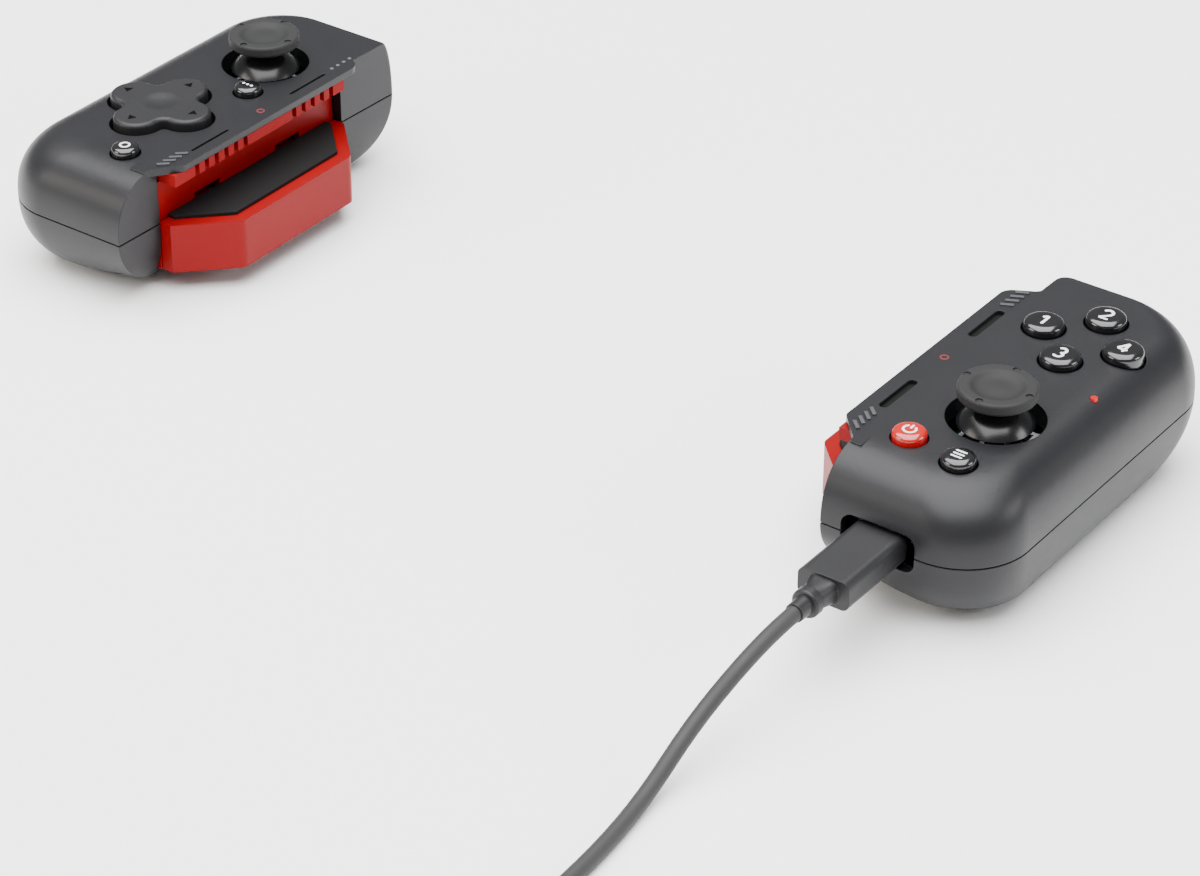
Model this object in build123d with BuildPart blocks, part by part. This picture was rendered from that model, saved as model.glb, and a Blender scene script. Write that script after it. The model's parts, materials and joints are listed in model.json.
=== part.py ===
from build123d import *
import math
import os

os.makedirs("parts", exist_ok=True)

# A two-piece mobile game controller: a left and a right grip that face each other, each with a fixed
# lip over a sprung jaw, and a charging cable in the right grip. X runs from grip to grip, and +Y is
# away from the player,
# +Z is up. The origin is on the surface that the grips lie on, midway between them.
# Every piece is drawn on the right (+X) side. The left grip's pieces are mirrored when written.

# Envelope of one grip
lip_gap = 174.6
clamp_setback = 6.7
left_near_setback = 4.8
left_far_setback = 2.2
right_near_setback = 5.7
right_far_setback = 6.6
outer_span = 262.6
grip_length = 93.7
grip_height = 31.6
top_depth = 14.2
wall = 2.0
face_thickness = 2.0
overrun = 6.0
running = 0.05
gap = 0.3

# Rounded edges of the grip: how far each edge draws in, and how square its curve is
top_outer_round = 11.2
top_near_round = 13.7
top_far_round = 3.3
base_outer_round = 8.7
base_near_round = 19.5
base_far_round = 22.0
base_inner_round = 13.0
base_corner_lift = 8.0
near_corner_radius = 15.2
far_corner_radius = 15.0
left_inner_corner_radius = 1.0
right_inner_corner_radius = 3.0
hollow_corner_radius = 0.6
top_square_share = 2.42
base_square_share = 2.1
inner_square_share = 3.0
far_square_share = 2.0
corner_ease_share = 0.3
loft_levels = 7
quarter_turn = 90
parting_groove_width = 0.35
parting_groove_depth = 0.5

# Fixed lip of each grip
lip_thickness = 1.6
lip_near_half = 29.7
lip_far_half = 31.3
lip_near_run = 6.2
lip_far_run_share = 0.54
lip_near_radius = 1.8
lip_far_radius = 3.2
lip_blend_radius = 2.6
lip_blend_run = 1.7
lip_blend_sink = 0.4
lip_slot_length = 12.6
lip_slot_place = 17.0
lip_slot_depth = 1.0
left_lip_slot_width = 0.7
right_lip_slot_width = 2.0
left_lip_slot_x = 90.5
right_lip_slot_x = 91.6
rib_count = 4
rib_length = 2.9
rib_width = 0.8
rib_height = 0.35
rib_pitch = 2.05
rib_x = 91.2
rib_place = 28.9
rib_near_turn = -43
rib_far_turn = 27

# Clamp: lip pad, back panel and sprung jaw
slot_top_drop = 4.4
slot_height = 9.0
clamp_near_reach = 33.4
clamp_far_reach = 27.6
panel_thickness = 1.6
panel_bottom = 5.2
lip_pad_setback = 0.2
pad_near_setback = 1.0
pad_far_setback = 1.2
pad_near_grooves = 6
pad_far_grooves = 5
pad_first_groove = 8.5
pad_rib_pitch = 3.3
pad_groove_width = 1.4
pad_groove_depth = 1.2
jaw_plate_thickness = 2.2
jaw_height = 12.0
jaw_shoulder = 0.9
jaw_reach = 9.8
jaw_skin = 1.8
jaw_corner_radius = 2.4
jaw_pad_thickness = 0.8
jaw_pad_margin = 3.0
jaw_opening_travel = 4.0
jaw_closing_travel = 2.5
arm_spread = 28.0
arm_width = 8.0
arm_height = 6.8
arm_top_drop = 0.8
arm_reach_past_pin = 2.8
guide_pin_x = 98.6
guide_pin_radius = 1.25
guide_pin_foot = 3.6
guide_pin_top = 19.9
guide_boss_radius = 3.2
guide_boss_top = 5.2
spring_coil_radius = 2.0
spring_wire_radius = 0.3
spring_turns = 5
spring_pocket_depth = 4.0

# Inside: board, battery, screws
board_thickness = 1.2
board_drop = 9.6
board_inner_setback = 0.8
board_outer_x = 127.0
board_near_y = -41.5
board_far_y = 39.4
board_corner_radius = 11.0
chip_size = 6.0
chip_height = 1.0
switch_radius = 1.8
switch_height = 1.1
battery_inner_x = 104.4
battery_outer_x = 124.4
battery_half_length = 24.0
battery_bottom = 6.0
battery_thickness = 7.0
battery_corner_radius = 1.5
battery_rib_thickness = 1.2
battery_rib_pitch = 19.0
board_hole_radius = 1.3
near_screws = [(98.9, -39.0), (122.0, -33.6)]
far_screws = [(98.9, 35.4), (124.2, 31.8)]
column_radius = 2.8
column_bore_radius = 1.15
screw_head_radius = 1.9
screw_head_height = 1.5
screw_shaft_radius = 1.0
screw_seat_z = 13.4
screw_tip_z = 26.4
screw_recess_radius = 2.1
driver_recess_radius = 0.8
driver_recess_depth = 0.8
boss_radius = 2.6
pilot_radius = 1.05

# Thumb stick
right_stick = (112.0, -13.1)
left_stick = (105.4, 19.6)
stick_hole_radius = 10.2
stick_pivot_drop = 6.0
stick_skirt_thickness = 0.8
stick_skirt_depth = 2.4
stick_base_size = 13.4
stick_base_wall = 1.0
stick_base_floor = 0.5
stick_base_height = 4.6
yoke_outer_radius = 5.2
yoke_inner_radius = 3.4
yoke_height = 2.0
yoke_pin_radius = 0.8
yoke_pin_reach = 6.5
rocker_pin_radius = 0.7
rocker_pin_reach = 4.9
rocker_hub_radius = 2.0
rocker_hub_drop = 1.2
dome_radius = 9.4
dome_thickness = 0.8
dome_angle = 58
cap_stem_radius = 1.2
cap_click_travel = 0.5
cap_radius = 8.2
cap_rise = 7.6
cap_edge_thickness = 2.6
cap_edge_radius = 0.7
cap_dish_radius = 6.2
cap_dish_depth = 0.7
cap_neck_radius = 4.2
cap_neck_flare = 6.4
cap_notch_radius = 0.8
cap_notch_depth = 0.35
dish_wall_share = 0.8
dish_drop_share = 0.6

# Buttons
face_button_radius = 4.35
face_hole_radius = 4.75
face_diamond_radius = 9.38
face_diamond = (111.4, 22.4)
small_right_radius = 3.6
small_right_hole_radius = 3.95
small_left_radius = 3.2
small_left_hole_radius = 3.55
power_button = (102.1, -29.6)
menu_button = (114.7, -31.7)
view_button = (98.9, 5.8)
share_button = (101.8, -32.7)
button_rise = 0.7
button_crown = 1.3
button_flange = 0.6
button_flange_thickness = 1.0
button_stem_radius = 2.0
button_travel = 1.0
pressed_gap = 0.2
membrane_thickness = 0.6
membrane_nub_radius = 2.2
membrane_nub_height = 0.5
membrane_pad_radius = 4.4

# Directional pad
dpad_place = (109.2, -12.5)
dpad_reach = 13.4
dpad_lobe_radius = 5.5
dpad_valley_radius = 2.3
dpad_rise = 2.2
dpad_thickness = 3.6
dpad_edge_radius = 1.0
dpad_dish_radius = 5.6
dpad_dish_depth = 0.45
dpad_dish_lift = 0.04
dpad_gap = 0.9
well_depth = 3.0
well_floor = 1.2
well_hole_radius = 4.0
collar_radius = 6.0
collar_height = 2.6
dpad_pivot_drop = 5.4
pivot_ring_outer_radius = 3.4
pivot_ring_inner_radius = 2.3
pivot_ring_height = 1.8
pivot_pin_radius = 0.6
pivot_pin_reach = 5.0
dpad_hub_radius = 1.5
dpad_hub_drop = 1.2
dpad_pin_radius = 0.5
dpad_pin_reach = 3.1

# Lights
status_light_count = 4
status_light_radius = 0.45
status_light_pitch = 2.15
status_light_place = (91.0, 29.6)
status_light_length = 1.3
power_light_place = (124.0, 4.9)
power_light_radius = 0.75
power_light_length = 3.0

# Bumper and trigger at the far end
bumper_inner_x = 102.6
bumper_outer_x = 120.4
bumper_bottom = 20.5
bumper_height = 5.5
bumper_face_y = 46.6
bumper_flange = 0.8
bumper_flange_thickness = 1.2
bumper_edge_radius = 0.8
bumper_travel = 1.0
bumper_switch_size = 4.0
bumper_switch_height = 2.0
bumper_switch_rise = 0.8
trigger_width = 17.0
trigger_inner_x = 103.1
trigger_pivot = (41.6, 13.6)
trigger_hub_radius = 2.2
trigger_opening_bottom = 3.0
trigger_tip_z = 3.6
trigger_top_z = 16.2
trigger_thickness = 2.5
trigger_face_y = 46.6
trigger_tip_y = 45.2
trigger_shoulder = 1.2
trigger_hollow = 1.3
trigger_pin_radius = 1.0
trigger_ear_thickness = 1.6
trigger_ear_bottom = 10.2
trigger_ear_back = 38.8
trigger_notch_width = 3.4
trigger_notch_radius = 2.9
trigger_spring_radius = 1.55
trigger_spring_wire_radius = 0.25
trigger_spring_turns = 4
trigger_spring_pitch = 0.65

# Charging socket and the cable's plug in it
plug_x = 106.3
plug_drop = 14.2
port_width = 17.0
port_height = 8.4
port_corner_radius = 2.6
socket_width = 9.0
socket_height = 3.2
socket_length = 7.4
socket_mouth_y = -44.9
socket_bore_width = 8.4
socket_bore_height = 2.6
socket_bore_depth = 6.8
socket_corner_radius = 1.2
socket_foot_width = 7.0
contact_width = 6.5
contact_thickness = 0.7
contact_length = 4.4
tongue_width = 8.3
tongue_height = 2.5
tongue_wall = 0.45
tongue_length = 6.4
plug_width = 11.8
plug_height = 6.5
plug_length = 20.6
plug_front_y = -45.4
plug_edge_radius = 1.8
neck_width = 6.8
neck_height = 5.2
neck_edge_radius = 1.8
neck_length = 4.4
neck_end_radius = 2.5
ring_radius = 3.1
ring_length = 2.2
ring_edge_radius = 0.6
relief_length = 3.4
relief_front_radius = 2.15
relief_back_radius = 2.0

# Cord
cord_diameter = 3.4
cord_bends = [
    (106.3, -81.8, 17.4),
    (105.0, -92.2, 13.9),
    (103.9, -106.4, 8.1),
    (104.9, -122.8, 1.7),
    (107.4, -141.0, 1.7),
    (108.0, -160.4, 1.7),
    (106.4, -183.0, 1.7),
]
arc_share = 0.45
smallest_turn = 1e-6
gap_sample_spacing = 1.5

# The cord's put-away length: a two-layer coil, and the plug at its end
coil_middle = (132.0, -207.0)
coil_outer_radius = 25.6
coil_pitch = 3.95
coil_layer_rise = 3.85
coil_quarters = 30
coil_climb_quarters = 2
coil_tail_run = 10.6
far_plug_width = 16.4
far_plug_length = 22.0
far_plug_height = 8.2
far_plug_edge_radius = 1.6
far_relief_length = 8.0
far_relief_radius = 2.8
far_shell_width = 12.0
far_shell_height = 4.5
far_shell_length = 12.0
far_shell_wall = 0.4
far_contact_thickness = 1.9

# Places worked out from the sizes above
outer_x = outer_span / 2
lip_x = lip_gap / 2
near_y = -grip_length / 2
far_y = grip_length / 2
parting_z = grip_height - top_depth
ceiling_z = grip_height - face_thickness
lip_bottom = grip_height - lip_thickness
clamp_x = lip_x + clamp_setback
cavity_x = clamp_x + wall
slot_top = grip_height - slot_top_drop
slot_bottom = slot_top - slot_height
jaw_top = slot_bottom - jaw_pad_thickness
jaw_bottom = jaw_top - jaw_height
arm_top = jaw_top - arm_top_drop
arm_bottom = arm_top - arm_height
clamp_middle = (clamp_far_reach - clamp_near_reach) / 2
pad_near_y = pad_near_setback - clamp_near_reach
pad_far_y = clamp_far_reach - pad_far_setback
arm_places = [clamp_middle - arm_spread / 2, clamp_middle + arm_spread / 2]
board_top = grip_height - board_drop
board_bottom = board_top - board_thickness
flange_top = ceiling_z - gap / 2
flange_bottom = flange_top - button_flange_thickness
stem_bottom = board_top + membrane_thickness + membrane_nub_height + button_travel + pressed_gap
stick_pivot_z = grip_height - stick_pivot_drop
dpad_pivot_z = grip_height - dpad_pivot_drop
plug_z = grip_height - plug_drop
plug_end_y = plug_front_y - plug_length
neck_end_y = plug_end_y - neck_length
ring_end_y = neck_end_y - ring_length
relief_end_y = ring_end_y - relief_length
screw_places = near_screws + far_screws
jaw_back_x = clamp_x - panel_thickness - gap
jaw_front_x = jaw_back_x - jaw_plate_thickness
jaw_tip_x = lip_x - jaw_reach
arm_end_x = guide_pin_x + arm_reach_past_pin
pocket_middle = (lip_x - overrun + clamp_x) / 2
trigger_ears = [trigger_inner_x - gap - trigger_ear_thickness, trigger_inner_x + trigger_width + gap]

board_inner_x = cavity_x + board_inner_setback
battery_centre = ((battery_inner_x + battery_outer_x) / 2, 0)
bumper_width = bumper_outer_x - bumper_inner_x
bumper_switch_y = board_far_y + bumper_switch_rise
bumper_flange_y = bumper_switch_y + pressed_gap + bumper_travel + bumper_flange_thickness
bumper_centre = (bumper_inner_x + bumper_width / 2, bumper_bottom + bumper_height / 2)
trigger_pin_length = trigger_ears[1] + trigger_ear_thickness - trigger_ears[0]
cord_radius = cord_diameter / 2
status_light_start = status_light_place[1] - (status_light_count - 1) / 2 * status_light_pitch
status_lights = [
    (status_light_place[0], status_light_start + light * status_light_pitch)
    for light in range(status_light_count)
]

# Each grip's inner wall: X at its near and far ends, and the radius of its far corner
WALLS = {
    "left": (lip_x + left_near_setback, lip_x + left_far_setback, left_inner_corner_radius),
    "right": (lip_x + right_near_setback, lip_x + right_far_setback, right_inner_corner_radius),
}
HOLLOW = (clamp_x, clamp_x, hollow_corner_radius)
LIP_SLOTS = {
    "left": (left_lip_slot_x, left_lip_slot_width),
    "right": (right_lip_slot_x, right_lip_slot_width),
}
STICKS = {"left": left_stick, "right": right_stick}


def write(piece, node):
    """Label a finished piece and write it"""
    piece.label = node
    export_step(piece, f"parts/{node}.step")


def write_for(side, piece, name):
    """Write a piece that was drawn on the right, mirrored when it belongs to the left grip"""
    if side == "left":
        piece = mirror(piece, about=Plane.YZ)
    write(piece, f"{side}_{name}")


# Shell shapes


def eased(width, rise, square):
    """How far an edge of that width has drawn in at a share of its height"""
    return width * (1 - (1 - rise**square) ** (1 / square))


def level_outline(wall_line, inset, outer, near, far, near_at_wall, near_radius, far_radius):
    """Plan outline of the grip at one level, with its inner wall set in from the wall line"""
    wall_near, wall_far, inner_radius = wall_line
    inner_near = wall_near + inset
    inner_far = wall_far + inset
    with BuildSketch() as level:
        with BuildLine():
            Line((inner_far, far - inner_radius), (inner_near, near_at_wall))
            Bezier(
                (inner_near, near_at_wall),
                ((inner_near + outer - near_radius) / 2, near),
                (outer - near_radius, near),
            )
            CenterArc((outer - near_radius, near + near_radius), near_radius, -quarter_turn, quarter_turn)
            Line((outer, near + near_radius), (outer, far - far_radius))
            CenterArc((outer - far_radius, far - far_radius), far_radius, 0, quarter_turn)
            Line((outer - far_radius, far), (inner_far + inner_radius, far))
            Bezier((inner_far + inner_radius, far), (inner_far, far), (inner_far, far - inner_radius))
        make_face()
    return level.sketch


def top_half(wall_line, skin, depth):
    """The grip above its parting line, drawn in all round by skin and depth high"""
    with BuildPart() as half:
        for level in range(loft_levels + 1):
            rise = math.sin(math.radians(quarter_turn * level / loft_levels))
            outer_in = eased(top_outer_round, rise, top_square_share)
            near_in = eased(top_near_round, rise, top_square_share)
            far_in = eased(top_far_round, rise, far_square_share)
            corner_in = skin + corner_ease_share * outer_in
            near = near_y + skin + near_in
            outline = level_outline(
                wall_line,
                skin,
                outer_x - skin - outer_in,
                near,
                far_y - skin - far_in,
                near,
                near_corner_radius - corner_in,
                far_corner_radius - corner_in,
            )
            with BuildSketch(Plane.XY.offset(parting_z + depth * rise)):
                add(outline)
        loft()
    return half.part


def bottom_half(wall_line, skin, depth):
    """The grip below its parting line, drawn in all round by skin and depth deep"""
    with BuildPart() as half:
        for level in range(loft_levels + 1):
            fall = math.sin(math.radians(quarter_turn * level / loft_levels))
            outer_in = eased(base_outer_round, fall, base_square_share)
            near_in = eased(base_near_round, fall, top_square_share)
            far_in = eased(base_far_round, fall, far_square_share)
            inner_in = eased(base_inner_round, fall, inner_square_share)
            corner_in = skin + corner_ease_share * outer_in
            near = near_y + skin + near_in
            outline = level_outline(
                wall_line,
                skin + inner_in,
                outer_x - skin - outer_in,
                near,
                far_y - skin - far_in,
                near + base_corner_lift * fall**far_square_share,
                near_corner_radius - corner_in,
                far_corner_radius - corner_in,
            )
            with BuildSketch(Plane.XY.offset(parting_z - depth * fall)):
                add(outline)
        loft()
    return half.part


def clover(grow):
    """The directional pad's four-lobed outline, grown all round by a gap"""
    length = 2 * (dpad_reach + grow)
    width = 2 * (dpad_lobe_radius + grow)
    with BuildSketch() as outline:
        with Locations(dpad_place):
            SlotOverall(length, width)
            SlotOverall(length, width, rotation=quarter_turn)
        valleys = outline.vertices().sort_by_distance((*dpad_place, 0))[:4]
        fillet(valleys, dpad_valley_radius - grow)
    return outline.sketch


pad_outline = clover(0)
well_outline = clover(dpad_gap)
well_wall_outline = clover(dpad_gap + wall / 2)


# Places of the round buttons: where, cap radius, hole radius

FACE_BUTTONS = {
    "button_x": (face_diamond[0] - face_diamond_radius, face_diamond[1]),
    "button_y": (face_diamond[0], face_diamond[1] + face_diamond_radius),
    "button_b": (face_diamond[0] + face_diamond_radius, face_diamond[1]),
    "button_a": (face_diamond[0], face_diamond[1] - face_diamond_radius),
}
BUTTONS = {
    "left": {
        "view_button": (view_button, small_left_radius, small_left_hole_radius),
        "share_button": (share_button, small_left_radius, small_left_hole_radius),
    },
    "right": {
        **{name: (place, face_button_radius, face_hole_radius) for name, place in FACE_BUTTONS.items()},
        "power_button": (power_button, small_right_radius, small_right_hole_radius),
        "menu_button": (menu_button, small_right_radius, small_right_hole_radius),
    },
}


def port_cutter():
    """The charging opening's space, through the near wall"""
    with BuildPart() as cutter:
        with BuildSketch(Plane.XZ.offset(-near_y - wall - gap)):
            with Locations((plug_x, plug_z)):
                RectangleRounded(port_width, port_height, port_corner_radius)
        extrude(amount=overrun)
    return cutter.part


def clamp_pocket():
    """The space in the inner wall that takes the lip pad, the back panel and the jaw"""
    length = clamp_near_reach + clamp_far_reach + 2 * gap
    with BuildPart() as pocket:
        with BuildSketch(Plane.XY.offset(panel_bottom - gap)):
            with Locations((pocket_middle, clamp_middle)):
                Rectangle(2 * (clamp_x - pocket_middle), length)
        extrude(amount=lip_bottom - panel_bottom + gap)
    return pocket.part


def groove_ring(wall_line):
    """A thin ring that cuts the shadow line round the bottom shell's rim"""
    depth = parting_groove_depth
    inside = level_outline(
        wall_line,
        depth,
        outer_x - depth,
        near_y + depth,
        far_y - depth,
        near_y + depth,
        near_corner_radius - depth,
        far_corner_radius - depth,
    )
    with BuildPart() as ring:
        with BuildSketch(Plane.XY.offset(parting_z - parting_groove_width)):
            with Locations(((lip_x + outer_x) / 2, 0)):
                Rectangle(outer_x - lip_x + 2 * overrun, grip_length + 2 * overrun)
        extrude(amount=parting_groove_width + overrun)
        with BuildSketch(Plane.XY.offset(parting_z - parting_groove_width)):
            add(inside)
        extrude(amount=parting_groove_width + overrun, mode=Mode.SUBTRACT)
    return ring.part


def lip_outline(wall_line):
    """Plan of the lip: its ends run back to the wall and blend into it"""
    wall_near, wall_far, _ = wall_line
    lean = (wall_far - wall_near) / grip_length
    near_end = -lip_near_half - lip_near_run
    far_end = lip_far_half + (wall_far - lip_x) * lip_far_run_share
    near_foot = wall_near + lean * (near_end - near_y)
    far_foot = wall_near + lean * (far_end - near_y)
    with BuildSketch() as plan:
        with BuildLine():
            Polyline(
                (clamp_x + wall, near_end - lip_blend_run),
                (near_foot + lip_blend_sink, near_end - lip_blend_run),
                (near_foot + running, near_end),
                (lip_x, -lip_near_half),
                (lip_x, lip_far_half),
                (far_foot + running, far_end),
                (far_foot + lip_blend_sink, far_end + lip_blend_run),
                (clamp_x + wall, far_end + lip_blend_run),
                close=True,
            )
        make_face()
        fillet(plan.vertices().sort_by_distance((near_foot + running, near_end, 0))[0], lip_blend_radius)
        fillet(plan.vertices().sort_by_distance((lip_x, -lip_near_half, 0))[0], lip_near_radius)
        fillet(plan.vertices().sort_by_distance((lip_x, lip_far_half, 0))[0], lip_far_radius)
        if far_foot - lip_x > lip_far_radius:
            fillet(plan.vertices().sort_by_distance((far_foot + running, far_end, 0))[0], lip_blend_radius)
    return plan.sketch


def make_top_shell(side):
    """Top shell with its lip, bosses, and the openings of one side"""
    wall_line = WALLS[side]
    slot_x, slot_width = LIP_SLOTS[side]
    outside = top_half(wall_line, 0, top_depth)
    inside = top_half(HOLLOW, wall, top_depth - face_thickness)

    with BuildPart() as bosses:
        with BuildSketch(Plane.XY.offset(board_top + running)):
            with Locations(*screw_places):
                Circle(boss_radius)
        extrude(amount=grip_height)
        with BuildSketch(Plane.XY.offset(ceiling_z - stick_skirt_depth)):
            with Locations(STICKS[side]):
                Circle(stick_hole_radius + stick_skirt_thickness)
        extrude(amount=stick_skirt_depth + face_thickness / 2)
        if side == "left":
            with BuildSketch(Plane.XY.offset(grip_height - well_depth - well_floor)):
                add(well_wall_outline)
            extrude(amount=well_depth + well_floor - face_thickness / 2)
            with BuildSketch(Plane.XY.offset(grip_height - well_depth - well_floor)):
                with Locations(dpad_place):
                    Circle(collar_radius)
            extrude(amount=-collar_height)
        add(outside, mode=Mode.INTERSECT)

    with BuildPart() as shell:
        add(outside)
        add(inside, mode=Mode.SUBTRACT)
        with BuildSketch(Plane.XY.offset(lip_bottom)):
            add(lip_outline(wall_line))
        extrude(amount=lip_thickness)
        add(clamp_pocket(), mode=Mode.SUBTRACT)
        add(bosses.part)

        # Openings in the face
        with BuildSketch(Plane.XY.offset(grip_height)):
            with Locations(STICKS[side]):
                Circle(stick_hole_radius)
            for place, _, hole_radius in BUTTONS[side].values():
                with Locations(place):
                    Circle(hole_radius)
        extrude(amount=-face_thickness - overrun, mode=Mode.SUBTRACT)
        with BuildSketch(Plane.XY.offset(ceiling_z)):
            for place, button_radius, _ in BUTTONS[side].values():
                with Locations(place):
                    Circle(button_radius + button_flange + gap)
        extrude(amount=-overrun, mode=Mode.SUBTRACT)
        with BuildSketch(Plane.XY.offset(grip_height)):
            with Locations((slot_x, -lip_slot_place), (slot_x, lip_slot_place)):
                SlotOverall(lip_slot_length, slot_width, rotation=quarter_turn)
        extrude(amount=-lip_slot_depth, mode=Mode.SUBTRACT)

        # Raised ribs along the lip's slanted ends, except at the left's far end, where the lights are
        rib_groups = [(-rib_place, rib_near_turn)] + ([(rib_place, rib_far_turn)] if side == "right" else [])
        for rib_y, rib_turn in rib_groups:
            with BuildSketch(Plane.XY.offset(grip_height - face_thickness / 2)):
                with Locations((rib_x, rib_y)):
                    with GridLocations(0, rib_pitch, 1, rib_count):
                        Rectangle(rib_length, rib_width, rotation=rib_turn)
            extrude(amount=face_thickness / 2 + rib_height)

        # Wall slots for the jaw's arms, and the screws' pilot holes
        arm_slot_top = arm_top + jaw_closing_travel + gap
        with BuildSketch(Plane.XY.offset(parting_z - overrun)):
            with Locations(*[((pocket_middle + arm_end_x) / 2, y) for y in arm_places]):
                Rectangle(arm_end_x - pocket_middle + 2 * gap, arm_width + 2 * gap)
        extrude(amount=arm_slot_top - parting_z + overrun, mode=Mode.SUBTRACT)
        with BuildSketch(Plane.XY.offset(board_top)):
            with Locations(*screw_places):
                Circle(pilot_radius)
        extrude(amount=screw_tip_z - board_top + gap, mode=Mode.SUBTRACT)

        # Bumper opening in the far end, and the room behind it for the bumper's flange
        with BuildSketch(Plane.XZ.offset(-board_far_y)):
            with Locations(bumper_centre):
                Rectangle(bumper_width + gap, bumper_height + gap)
        extrude(amount=board_far_y - far_y - overrun, mode=Mode.SUBTRACT)
        with BuildSketch(Plane.XZ.offset(-board_far_y)):
            with Locations(bumper_centre):
                Rectangle(bumper_width + 2 * (bumper_flange + gap), bumper_height + 2 * (bumper_flange + gap))
        extrude(amount=board_far_y - bumper_flange_y - gap / 2, mode=Mode.SUBTRACT)

        if side == "left":
            with BuildSketch(Plane.XY.offset(grip_height)):
                add(well_outline)
            extrude(amount=-well_depth, mode=Mode.SUBTRACT)
            with BuildSketch(Plane.XY.offset(grip_height)):
                with Locations(dpad_place):
                    Circle(well_hole_radius)
            extrude(amount=board_top - grip_height, mode=Mode.SUBTRACT)
            with BuildSketch(Plane.YZ.offset(dpad_place[0])):
                with Locations((dpad_place[1], dpad_pivot_z)):
                    Circle(pivot_pin_radius + running)
            extrude(amount=pivot_pin_reach + running, both=True, mode=Mode.SUBTRACT)
            with BuildSketch(Plane.XY.offset(grip_height)):
                with Locations(*status_lights):
                    Circle(status_light_radius + running)
            extrude(amount=-status_light_length - running, mode=Mode.SUBTRACT)
        else:
            with BuildSketch(Plane.XY.offset(grip_height)):
                with Locations(power_light_place):
                    Circle(power_light_radius + running)
            extrude(amount=-face_thickness - overrun, mode=Mode.SUBTRACT)
            add(port_cutter(), mode=Mode.SUBTRACT)
    write_for(side, shell.part, "top_shell")


def make_bottom_shell(side):
    """Bottom shell with its screw columns, battery ribs, guide bosses and trigger ears"""
    wall_line = WALLS[side]
    outside = bottom_half(wall_line, 0, parting_z)
    inside = bottom_half(HOLLOW, wall, parting_z - wall)
    ear_length = far_y - trigger_ear_back
    ear_height = parting_z - trigger_ear_bottom

    with BuildPart() as insides:
        with BuildSketch():
            with Locations(*screw_places):
                Circle(column_radius)
        extrude(amount=parting_z)
        with BuildSketch():
            with Locations(*[(guide_pin_x, y) for y in arm_places]):
                Circle(guide_boss_radius)
        extrude(amount=guide_boss_top)
        with BuildSketch():
            with Locations(battery_centre):
                with GridLocations(0, battery_rib_pitch, 1, 3):
                    Rectangle(battery_outer_x - battery_inner_x, battery_rib_thickness)
        extrude(amount=battery_bottom)
        for x in trigger_ears:
            with BuildSketch(Plane.YZ.offset(x)):
                with Locations((far_y - ear_length / 2, parting_z - ear_height / 2)):
                    Rectangle(ear_length, ear_height)
            extrude(amount=trigger_ear_thickness)
        add(outside, mode=Mode.INTERSECT)

    with BuildPart() as shell:
        add(outside)
        add(inside, mode=Mode.SUBTRACT)
        add(groove_ring(wall_line), mode=Mode.SUBTRACT)
        add(clamp_pocket(), mode=Mode.SUBTRACT)
        # The jaw's way down, open at the bottom
        with BuildSketch(Plane.XY.offset(-overrun)):
            with Locations(((lip_x + jaw_back_x + gap) / 2, clamp_middle)):
                Rectangle(jaw_back_x + gap - lip_x, clamp_near_reach + clamp_far_reach + 2 * gap)
        extrude(amount=panel_bottom + overrun, mode=Mode.SUBTRACT)
        add(insides.part)
        with BuildSketch(Plane.XY.offset(parting_z)):
            with Locations(*screw_places):
                Circle(column_radius)
        extrude(amount=board_bottom - parting_z)

        # Screw holes and the recesses for their heads
        with BuildSketch():
            with Locations(*screw_places):
                Circle(column_bore_radius)
        extrude(amount=board_top, mode=Mode.SUBTRACT)
        with BuildSketch():
            with Locations(*screw_places):
                Circle(screw_recess_radius)
        extrude(amount=screw_seat_z, mode=Mode.SUBTRACT)

        # Guide pin sockets and the arms' way through the wall
        with BuildSketch(Plane.XY.offset(guide_pin_foot)):
            with Locations(*[(guide_pin_x, y) for y in arm_places]):
                Circle(guide_pin_radius + running)
        extrude(amount=parting_z, mode=Mode.SUBTRACT)
        with BuildSketch(Plane.XY.offset(arm_bottom - jaw_opening_travel - gap)):
            with Locations(*[((pocket_middle + arm_end_x) / 2, y) for y in arm_places]):
                Rectangle(arm_end_x - pocket_middle + 2 * gap, arm_width + 2 * gap)
        extrude(amount=parting_z, mode=Mode.SUBTRACT)

        # Trigger opening and its pin's bores
        opening_length = far_y + overrun - trigger_ear_back
        opening_height = parting_z + overrun - trigger_opening_bottom
        opening_centre = (trigger_ear_back + opening_length / 2, trigger_opening_bottom + opening_height / 2)
        with BuildSketch(Plane.YZ.offset(trigger_inner_x - gap)):
            with Locations(opening_centre):
                Rectangle(opening_length, opening_height)
        extrude(amount=trigger_width + 2 * gap, mode=Mode.SUBTRACT)
        with BuildSketch(Plane.YZ.offset(trigger_ears[0] - running)):
            with Locations(trigger_pivot):
                Circle(trigger_pin_radius + running)
        extrude(amount=trigger_pin_length + 2 * running, mode=Mode.SUBTRACT)
        if side == "right":
            add(port_cutter(), mode=Mode.SUBTRACT)
    write_for(side, shell.part, "bottom_shell")


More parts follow.
